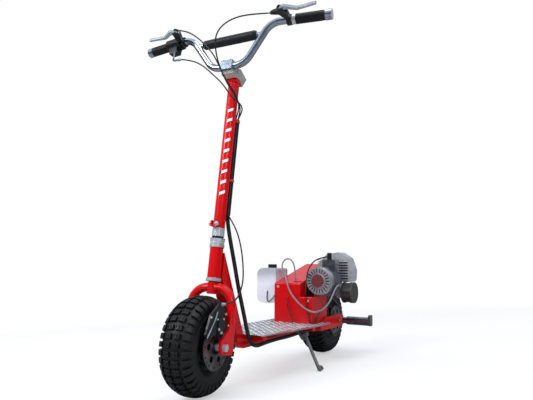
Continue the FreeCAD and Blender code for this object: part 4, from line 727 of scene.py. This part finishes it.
# The carcass and the lugs are outlines of (radius, aside)
tyreLooks = {
    "rows": 36,
    "carcass": [(125.0, 0.0), (124.4, 10), (122.0, 20), (118.6, 30), (112.5, 38.5), (104.5, 44.2),
                (95.0, 46.4), (86.0, 46.6), (78.0, 44.4), (71.0, 40.2), (66.5, 36.0), (63.2, 34.0),
                (61.2, 33.4), (60.6, 31.8)],
    "ribs": [(90.0, 46.7), (73.5, 42.0), (68.6, 38.3)],
    "inner": [(123.5, 3.2), (131.9, 3.6), (131.2, 13.0), (129.0, 21.6), (120.6, 22.6)],
    "outer": [(117.6, 29.2), (126.0, 29.8), (121.6, 38.4), (115.6, 45.6), (103.6, 47.6),
              (97.0, 46.6), (104.0, 42.0), (112.0, 36.0)],
    "lugHalf": 6.7,
    "round": 0.7,
    "dimple": 2.9,
    "dimpleDeep": 1.5,
}


def lugTop(block):
    # Faces that look away from the wheel, without the narrow rounds
    steep, small = 0.9, 60
    return [face for face in block.faces if face.normal.z > steep and face.calc_area() > small]


def addLug(shape, outline, side, dimple):
    looks = tyreLooks
    block = bmesh.new()
    prism(block, [(aside * side, radius) for radius, aside in outline], -looks["lugHalf"],
          looks["lugHalf"], "X")
    bmesh.ops.recalc_face_normals(block, faces=block.faces)
    bmesh.ops.bevel(block, geom=block.edges[:], offset=looks["round"], segments=1, affect="EDGES",
                    clamp_overlap=True)
    block.normal_update()
    if dimple:
        bmesh.ops.dissolve_faces(block, faces=lugTop(block))
        top = lugTop(block)
        bmesh.ops.inset_individual(block, faces=top, thickness=looks["dimple"])
        bmesh.ops.inset_individual(block, faces=top, thickness=0.7, depth=-looks["dimpleDeep"])
    joinShape(shape, block)


def makeTyre(name, place, body, node):
    # Smooth carcass with side ribs, and rows of square dimpled lugs
    carcass, lugs = bmesh.new(), bmesh.new()
    rows = tyreLooks["carcass"]
    other = [(radius, -aside) for radius, aside in reversed(rows[1:])]
    lathe(carcass, rows + [(rows[-1][0], 0.0)] + other, 144, closed=True)
    for radius, aside in tyreLooks["ribs"]:
        for side in (1, -1):
            lathe(carcass, [(radius - 1.1, side * (aside - 0.6)), (radius, side * (aside + 0.5)),
                            (radius + 1.1, side * (aside - 0.6))], 96, closed=True)
    for side in (1, -1):
        addLug(lugs, tyreLooks["inner"], side, True)
        addLug(lugs, tyreLooks["outer"], side, False)
    grown(name, roundTree, {"Count": tyreLooks["rows"], "Axis": (0, 1, 0)},
          {"Part": meshOf(lugs, local, 30)}, place, body, "tyre_rubber", [node],
          host=meshOf(carcass, local, 50))


print("making tyres")
makeTyre("tyreFront", onFrontWheel, "front_wheel", "front_tyre")
makeTyre("tyreRear", onFrame, "rear_wheel", "rear_tyre")

chainLooks = {"pitch": 8.0, "rearTeeth": 48, "frontTeeth": 11, "span": (82.0, 99.0), "aside": 59.0,
              "links": 64, "plate": 3.3, "waist": 1.9, "thick": 0.9, "innerAside": 1.9,
              "outerAside": 2.6, "roller": 2.5, "rollerHalf": 1.8}


def linkPart(inner):
    # Two waisted plates, and the inner link's rollers, one pitch long
    looks = chainLooks
    half = looks["pitch"] / 2
    shape = bmesh.new()
    outline = []
    for end in (1, -1):
        # Round the link's end in nine points
        for number in range(9):
            turn = math.radians(10 - 90 * end + 20 * number)
            outline.append((end * half + looks["plate"] * 0.9 * math.cos(turn),
                            looks["plate"] * math.sin(turn)))
        outline.append((0.0, end * looks["waist"]))
    near = looks["innerAside"] if inner else looks["outerAside"]
    for side in (1, -1):
        prism(shape, outline, side * near, side * (near + looks["thick"]))
        if inner:
            roller = bmesh.new()
            lathe(roller, [(looks["roller"], -looks["rollerHalf"]),
                           (looks["roller"], looks["rollerHalf"])], 10)
            roller.transform(Matrix.Translation((side * half, 0, 0)))
            joinShape(shape, roller)
    return meshOf(shape)


def makeChain():
    # Pitch line round both sprockets, then links along it
    looks = chainLooks
    rear, front = (looks["pitch"] / (2 * math.sin(math.pi / looks[name]))
                   for name in ("rearTeeth", "frontTeeth"))
    span = Vector((looks["span"][0], 0, looks["span"][1]))
    way = span.normalized()
    side = Vector((-way.z, 0, way.x))
    tilt = math.asin((rear - front) / span.length)
    arcs = [(Vector(), rear, math.pi / 2 - tilt, 1.5 * math.pi + tilt, 60),
            (span, front, tilt - math.pi / 2, math.pi / 2 - tilt, 24)]
    spots = []
    for centre, radius, first, last, count in arcs:
        for number in range(count + 1):
            turn = first + (last - first) * number / count
            spots.append(centre + (way * math.cos(turn) + side * math.sin(turn)) * radius)
    curve = bpy.data.curves.new("chainPath", "CURVE")
    curve.dimensions = "3D"
    spline = curve.splines.new("POLY")
    spline.points.add(len(spots) - 1)
    for point, spot in zip(spline.points, spots):
        point.co = (spot.x * mm, looks["aside"] * mm, spot.z * mm, 1.0)
    spline.use_cyclic_u = True
    grown("driveChain", chainTree, {"Count": looks["links"]},
          {"Path": curve, "Outer": linkPart(False), "Inner": linkPart(True)}, onFrame,
          "frame", "bright_steel", ["drive_chain"], darkSteel)


print("making the chain and the tread plate")
makeChain()

treadLooks = {
    "Pitch": 14.0, "Rear": 190, "Front": 615, "Shoulder": 350, "Half Width": 122, "Front Half": 86,
    "Margin": 9.5, "Box Front": 256, "Box Half": 78, "Level": 8.9,
}
lozengeLooks = {"long": 9.0, "wide": 2.6, "high": 1.3, "rows": 30, "columns": 17}


def makeTread():
    # Raised lozenges of the chequer plate
    looks = lozengeLooks
    bar = bmesh.new()
    skin(bar, [[(x, y, share * looks["high"])
                for x, y in ringOf(12, looks["long"] * scale, looks["wide"] * scale)]
               for scale, share in ((1.0, 0.0), (0.86, 0.7), (0.6, 1.0))])
    sizes = {name: size * mm for name, size in treadLooks.items()}
    sizes.update({"Rows": looks["rows"], "Columns": looks["columns"]})
    grown("treadBars", lozengeTree, sizes, {"Part": meshOf(bar, local, 60)}, onFrame,
          "frame", "tread_plate")


makeTread()

padLooks = {"middle": (49.9, 0, 919), "half": 94.0, "radius": 15.0, "bore": 7.4, "pinch": 2.4,
            "pinchLong": 4, "crown": 0.48, "seam": 1.1, "seamTurn": 2.6, "seamWide": 0.16}


def makePad():
    # Foam sleeve with pinched ends, a slit along its back and a softly uneven skin
    looks = padLooks
    half, bore = looks["half"], looks["bore"]
    rows = [(bore, -half)]
    for number in range(41):
        share = number / 40
        along = (share * 2 - 1) * half
        pinch = looks["pinch"] * max(0.0, 1 - (half - abs(along)) / looks["pinchLong"]) ** 2
        crown = looks["crown"] * (math.cos(math.pi * (share - 0.5)) - 1)
        rows.append((looks["radius"] - pinch + crown, along))
    rows.append((bore, half))
    shape = bmesh.new()
    lathe(shape, rows, 48, closed=True)
    for vert in shape.verts:
        x, y, z = vert.co
        out = math.hypot(x, z)
        if out > bore + 1:
            turn = math.atan2(z, x)
            fromSeam = turn - looks["seamTurn"]
            back = abs(math.atan2(math.sin(fromSeam), math.cos(fromSeam)))
            dent = looks["seam"] * max(0.0, 1 - back / looks["seamWide"])
            uneven = 0.12 * math.sin(y * 0.21 + 2 * turn) + 0.10 * math.sin(y * 0.47 - turn)
            scale = (out - dent - 0.2 + uneven) / out
            vert.co.x *= scale
            vert.co.z *= scale
    mesh = meshOf(shape, onSteer @ shifted(*looks["middle"]), 70)
    pad = finished("foamPad", mesh, "steering", "pad_foam", ["bar_pad"])


# The handlebar's left end, and its bend where the grip's straight stretch begins
barLooks = {"end": (35, 326, 946), "bend": (53, 141, 949)}


def barEnd(side):
    # Frame at the tube's end; Y runs along the grip, out of the tube on the left
    end, bend = (Vector((x, side * y, z)) for x, y, z in (barLooks["end"], barLooks["bend"]))
    way = (end - bend).normalized() * side
    forward = way.cross(Vector((0, 0, 1))).normalized()
    return onSteer @ axesAt(end * mm, forward, way, forward.cross(way))


gripLooks = {"radius": 15.3, "pitch": 4.4, "bore": 11.6, "flange": 3.4, "margin": 4.5}
# Side, name, then where the sleeve starts and ends, from the tube's end
gripRows = [(1, "left", 16.6, 104.0), (-1, "right", 16.6, 85.0)]


def makeGrip(side, word, outer, inner):
    # Rubber sleeve with close rings and a raised inner flange
    radius, pitch, bore, flange, margin = gripLooks.values()
    low, high = sorted((-side * outer, -side * inner))
    base = radius - 0.9
    sleeve, ring = bmesh.new(), bmesh.new()
    lathe(sleeve, [(bore, low), (base, low), (base + 0.2, low + 0.6), (base + 0.2, high - 0.6),
                   (base, high), (bore, high)], 40, closed=True)
    near, far = -side * inner, side * (flange - inner)
    lathe(sleeve, [(bore, near), (radius, near), (radius, far), (bore, far)], 40, closed=True)
    lathe(ring, [(base, 0), (radius - 0.1, 0.5), (radius, 1.1), (radius, 1.9), (radius - 0.1, 2.5),
                 (base, 3.0)], 40, closed=True)
    room = high - low - 2 * margin
    count = int(room / pitch)
    start = low + margin + (room - count * pitch) / 2
    grown("grip" + word.capitalize(), rowTree, {"Count": count, "Step": (0, pitch * mm, 0)},
          {"Part": meshOf(ring, shifted(0, start, 0))}, barEnd(side), "steering", "grip_rubber",
          ["grip_" + word], host=meshOf(sleeve))


print("making the pad and the grips")
makePad()
for row in gripRows:
    makeGrip(*row)

stripeLooks = {"radius": 17.5, "proud": 0.18, "low": 424.0, "step": 33.0, "count": 9, "tall": 9.0,
               "slant": 8.0, "middle": 26.0, "spread": 27.0}


def makeStripes():
    # Slanted white bars wrapped on the stem
    looks = stripeLooks
    shape = bmesh.new()
    radius = looks["radius"] + looks["proud"]
    for number in range(looks["count"]):
        foot = looks["low"] + number * looks["step"]
        columns = []
        for share in (step / 12 for step in range(13)):
            turn = math.radians(looks["middle"] + looks["spread"] * (2 * share - 1))
            rise = foot + looks["slant"] * share
            a, b = radius * math.cos(turn), radius * math.sin(turn)
            columns.append([shape.verts.new((a, b, z)) for z in (rise, rise + looks["tall"])])
        for first, second in zip(columns, columns[1:]):
            shape.faces.new((first[0], second[0], second[1], first[1]))
    bmesh.ops.solidify(shape, geom=shape.faces[:], thickness=looks["proud"] + 0.1)
    finished("stemStripes", meshOf(shape, onSteer), "steering", "red_paint", material=stripeWhite)


print("making the stem's stripes and the bolts")
makeStripes()

# Rows of each body: the node that carries them, frame, way out, then for each bolt a point in
# front of its seat and its size
boltRows = {
    "steering": [
        ("front_caliper", onFrontWheel, (0, 1, 0), [
            (28.8, 95, 70.6, 0.5), (3.4, 95, 73.2, 0.5), (23.1, 95, 45.6, 0.6),
            (9.7, 95, 37.1, 0.7), (-11, 95, 86, 0.6), (60, 95, 74, 0.5)]),
        ("fork", onFrontWheel, (1, 0, 0), [(40, 71.5, 57, 0.45)]),
        ("stem", onSteer, (0, 1, 0), [(30.5, 40, 336.5, 1.3)]),
        ("stem", onSteer, (0, -1, 0), [(30.5, -40, 336.5, 1.3)]),
        ("bar_clamp", onSteer, (0, 0, 1), [
            (25, 13, 870, 0.6), (25, -13, 870, 0.6), (52.5, 13, 870, 0.55),
            (52.5, -13, 870, 0.55)]),
    ],
    "frame": [("wheel_housing", onFrame, (1, 0, 0), [(300, -62, 136, 0.8), (300, 62, 88, 0.7)])],
}
boltLooks = {
    # Washer, hexagon head and end as turned rows, for a head 10 mm across, and their corners
    "washer": ([(5.8, 0.0), (6.0, 0.3), (6.0, 1.1), (5.6, 1.4)], 20),
    "head": ([(5.0, 1.3), (5.3, 1.5), (5.3, 4.4), (4.3, 5.1)], 6),
    "end": ([(2.7, 4.9), (2.7, 6.0), (2.0, 6.8)], 14),
}
seatLooks = {"probe": 4, "farthest": 200}


def seatOn(node, point, way):
    # Middle of five rays back onto the CAD node, so that the bolt's own hole does not swallow it
    mesh = nodes[node].data
    tree = BVHTree.FromPolygons([vert.co.copy() for vert in mesh.vertices],
                                [list(face.vertices) for face in mesh.polygons])
    across = way.orthogonal().normalized() * seatLooks["probe"] * mm
    beside = way.cross(across)
    shifts = [Vector(), across, -across, beside, -beside]
    depths = sorted(tree.ray_cast(point + shift, -way)[3] or 1.0 for shift in shifts)
    if depths[2] > seatLooks["farthest"] * mm:
        raise RuntimeError("nothing of %s under the bolt" % node)
    return point - way * depths[2]


def makeBolts(body, rows):
    bolts = []
    for node, place, way, spots in rows:
        out = (place.to_3x3() @ Vector(way)).normalized()
        bolts += [(seatOn(node, at(place, *spot), out), out, size) for *spot, size in spots]
    seats, ways, sizes = zip(*bolts)
    host = bpy.data.meshes.new("boltSpots")
    host.from_pydata(seats, [], [])
    wayOf = host.attributes.new("way", "FLOAT_VECTOR", "POINT")
    wayOf.data.foreach_set("vector", [number for way in ways for number in way])
    host.attributes.new("size", "FLOAT", "POINT").data.foreach_set("value", sizes)
    shape = bmesh.new()
    for turned, corners in boltLooks.values():
        lathe(shape, turned, corners, "Z")
    grown("bolts" + body.capitalize(), boltTree, {}, {"Part": meshOf(shape, local, 35)}, local,
          body, "bright_steel", host=host)


for body, rows in boltRows.items():
    makeBolts(body, rows)

adjusterLooks = {
    # Radius and share of the way from the cable to the fitting
    "turned": [(2.4, 0.0), (2.6, 0.05), (2.6, 0.30), (4.2, 0.34), (4.2, 0.62), (3.6, 0.66),
               (4.6, 0.70), (4.6, 0.96), (4.0, 1.0)],
    # Cable's end, then the point on the lever or caliper that it screws into
    "ends": [((89, 149, 955.2), (90.5, 162, 953.6)), ((114, -148, 943.4), (101, -163, 948.5)),
             ((46.5, 75.6, 112.4), (58, 71.0, 109.6)),
             ((86.8, -150.5, 859.1), (85.2, -164.5, 861.1))],
}
# Middle, half width and half height of the body that carries the left cable to its clamp
leverBody = [((89.5, 157, 954), 4.4, 4.6), ((90, 166, 953.5), 7.0, 6.2),
             ((91.5, 186, 951), 10.5, 8.2)]
barRing = [(11.4, -116.5), (14.0, -116.5), (14.6, -115.8), (14.6, -106.8), (14.0, -106.0),
           (11.4, -106.0)]
# Bright bent tube that leads the throttle cable out, and two wires down the caliper's face
elbow = [(60, -204, 913.5), (61, -203.5, 897), (66, -200, 879), (78, -188, 866), (85.2, -164, 861)]
returnWires = [[(34, 68.6, 90), (42, 70.4, 74), (55, 70.8, 56), (66, 69.6, 38), (73, 68.2, 22)],
               [(36, 68.6, 90), (45, 70.6, 70), (60, 71.4, 50), (66, 70.0, 34), (73.4, 68.2, 21.6)]]


def makeAdjusters():
    looks = adjusterLooks
    shape = bmesh.new()
    for start, end in looks["ends"]:
        way = Vector(end) - Vector(start)
        made = bmesh.new()
        lathe(made, [(radius, share * way.length) for radius, share in looks["turned"]], 18, "Z")
        turn = way.to_track_quat("Z", "Y").to_matrix().to_4x4()
        made.transform(Matrix.Translation(start) @ turn)
        joinShape(shape, made)
    finished("cableAdjusters", meshOf(shape, onSteer, 35), "steering", "lever_silver")


def makeLeverBody():
    # Black body with cut corners
    upper = [(1, 0.6), (0.6, 1), (-0.6, 1), (-1, 0.6)]
    corners = upper + [(-a, -b) for a, b in upper]
    shape = bmesh.new()
    skin(shape, [[(x + wide * a, y, z + tall * b) for a, b in corners]
                 for (x, y, z), wide, tall in leverBody])
    finished("leverBody", meshOf(shape, onSteer, 30), "steering", "black_plastic")


def makeBarRing():
    # Bright ring between the left lever's clamp and the grip
    shape = bmesh.new()
    lathe(shape, barRing, 36, closed=True)
    finished("barRing", meshOf(shape, barEnd(1)), "steering", "bright_steel")


# Black sheets of painted shade in the louvres and slits: from and to in Y, Z and X, then the tree that repeats
# them and where it stands
ventLooks = {
    "louvreScreens": ((117.3, 153.7), (153.8, 158.7), (96.1, 96.7), rowTree,
                      {"Count": 8, "Step": (0, 0, 10 * mm)}, onFrame),
    "starterScreens": ((28.3, 44.7), (-2.0, 2.0), (218.1, 218.7), roundTree,
                       {"Count": 22, "Axis": (1, 0, 0)},
                       onFrame @ shifted(0, *starterLooks["hub"][1:])),
}


def makeVents():
    # Black sheets behind the shroud's louvres and in the starter's slits, painting the shade in these slots
    for name, ((left, right), (low, high), deep, tree, sizes, place) in ventLooks.items():
        shadeSlab = bmesh.new()
        prism(shadeSlab, [(left, low), (right, low), (right, high), (left, high)], *deep, "X")
        grown(name, tree, sizes, {"Part": meshOf(shadeSlab, local, 0)}, place, "frame", "black_plastic")


print("making fittings")
makeAdjusters()
makeLeverBody()
finished("throttleElbow", cord(onSteer, [elbow], "elbow"), "steering", "chrome")
makeBarRing()
finished("returnSpring", cord(onFrontWheel, returnWires, "spring"), "steering", "lever_silver")
makeVents()

# Stage, lights and camera
stageLooks = {
    "floorHalf": 30.0, "floor": (0.80, 0.80, 0.81), "floorMirrored": (0.20, 0.20, 0.21),
    "glow": 0.50, "clearFrom": 0.9, "clearTo": 3.6, "wall": (0.11, 0.115, 0.13), "wallTop": 0.05,
    "sky": (0.92, 1.02, 1.18), "skyFrom": 0.65, "worldStrength": 0.64,
}
softBoxes = [
    # place, aim, size, watts, whether bright metal mirrors it
    ((2.5, -0.7, 2.2), (0.0, 0.0, 0.5), 1.5, 44.0, False),
    ((2.3, -1.3, 2.0), (0.0, 0.0, 0.5), 0.9, 16.0, True),
    ((1.3, 2.6, 1.9), (0.0, 0.0, 0.4), 1.4, 4.0, False),
    ((1.9, 2.1, 1.7), (0.0, 0.0, 0.4), 0.7, 8.0, True),
    ((-0.6, -2.4, 1.8), (0.0, 0.0, 0.4), 1.4, 22.0, False),
    ((-2.2, 1.2, 2.0), (0.0, 0.0, 0.4), 1.4, 20.0, False),
    ((0.2, 0.2, 3.0), (0.0, 0.0, 0.0), 2.0, 14.0, False),
    ((0.6, 0.5, 2.8), (0.0, 0.0, 0.0), 1.2, 10.0, True),
]
cameraLooks = {"place": (1.4730, 0.7876, 0.2875), "yaw": -149.93, "pitch": 9.68, "roll": -3.07,
               "lens": 32.9, "sensor": 36.0}


def makeFloor():
    # Pale and matt, glowing white to the camera further off, darker where metal mirrors it
    looks = stageLooks
    half = looks["floorHalf"]
    mesh = bpy.data.meshes.new("floor")
    corners = [(-half, -half, 0), (half, -half, 0), (half, half, 0), (-half, half, 0)]
    mesh.from_pydata(corners, [], [(0, 1, 2, 3)])
    floor = show("floor", mesh)
    finish = Finish("floorPale")
    rays = finish.node("ShaderNodeLightPath").outputs
    far = finish.step(finish.away((0, 0, 0)), looks["clearFrom"], looks["clearTo"])
    seen = Value(finish, rays["Is Camera Ray"]) * (looks["glow"] + (1.0 - looks["glow"]) * far)
    shown = finish.mix(rays["Is Glossy Ray"], looks["floor"], looks["floorMirrored"])
    matt = finish.out("ShaderNodeBsdfDiffuse", Color=shown)
    glow = finish.out("ShaderNodeEmission", Color=(1, 1, 1), Strength=1.0)
    paint(floor, finish.end(finish.out("ShaderNodeMixShader", (), seen, matt, glow)))


def makeWorld():
    # Grey walls under a pale sky for the light, plain white to the camera
    looks = stageLooks
    world = Finish("studio", bpy.data.worlds, "World", "Generated")
    rays = world.node("ShaderNodeLightPath").outputs
    seen = world.maths("MAXIMUM", rays["Is Camera Ray"], rays["Is Transmission Ray"])
    rise = world.clamp((world.height() - looks["wallTop"]) / (looks["skyFrom"] - looks["wallTop"]))
    light = world.out("ShaderNodeBackground", (), world.mix(rise, looks["wall"], looks["sky"]),
                      looks["worldStrength"])
    white = world.out("ShaderNodeBackground", (), (1, 1, 1), 1.0)
    bpy.context.scene.world = world.end(world.out("ShaderNodeMixShader", (), seen, light, white))


def makeLights():
    for number, (place, aim, width, watts, mirrored) in enumerate(softBoxes):
        lamp = bpy.data.lights.new("softBox%d" % number, "AREA")
        lamp.shape = "DISK"
        lamp.size = width
        lamp.energy = watts
        box = show(lamp.name, lamp)
        box.location = place
        box.visible_glossy = mirrored
        box.rotation_euler = (Vector(aim) - Vector(place)).to_track_quat("-Z", "Y").to_euler()


def makeCamera():
    lens = bpy.data.cameras.new("camera")
    lens.lens = cameraLooks["lens"]
    lens.sensor_width = cameraLooks["sensor"]
    camera = show("camera", lens)
    yaw, pitch, roll = (math.radians(cameraLooks[name]) for name in ("yaw", "pitch", "roll"))
    level = math.cos(pitch)
    ahead = Vector((math.cos(yaw) * level, math.sin(yaw) * level, math.sin(pitch)))
    right = ahead.cross(Vector((0, 0, 1))).normalized()
    up = right.cross(ahead)
    camera.matrix_world = axesAt(cameraLooks["place"], right * math.cos(roll) + up * math.sin(roll),
                                 up * math.cos(roll) - right * math.sin(roll), -ahead)
    bpy.context.scene.camera = camera


print("making stage, lights and camera")
makeFloor()
makeWorld()
makeLights()
makeCamera()
bpy.context.scene.view_settings.view_transform = "Standard"
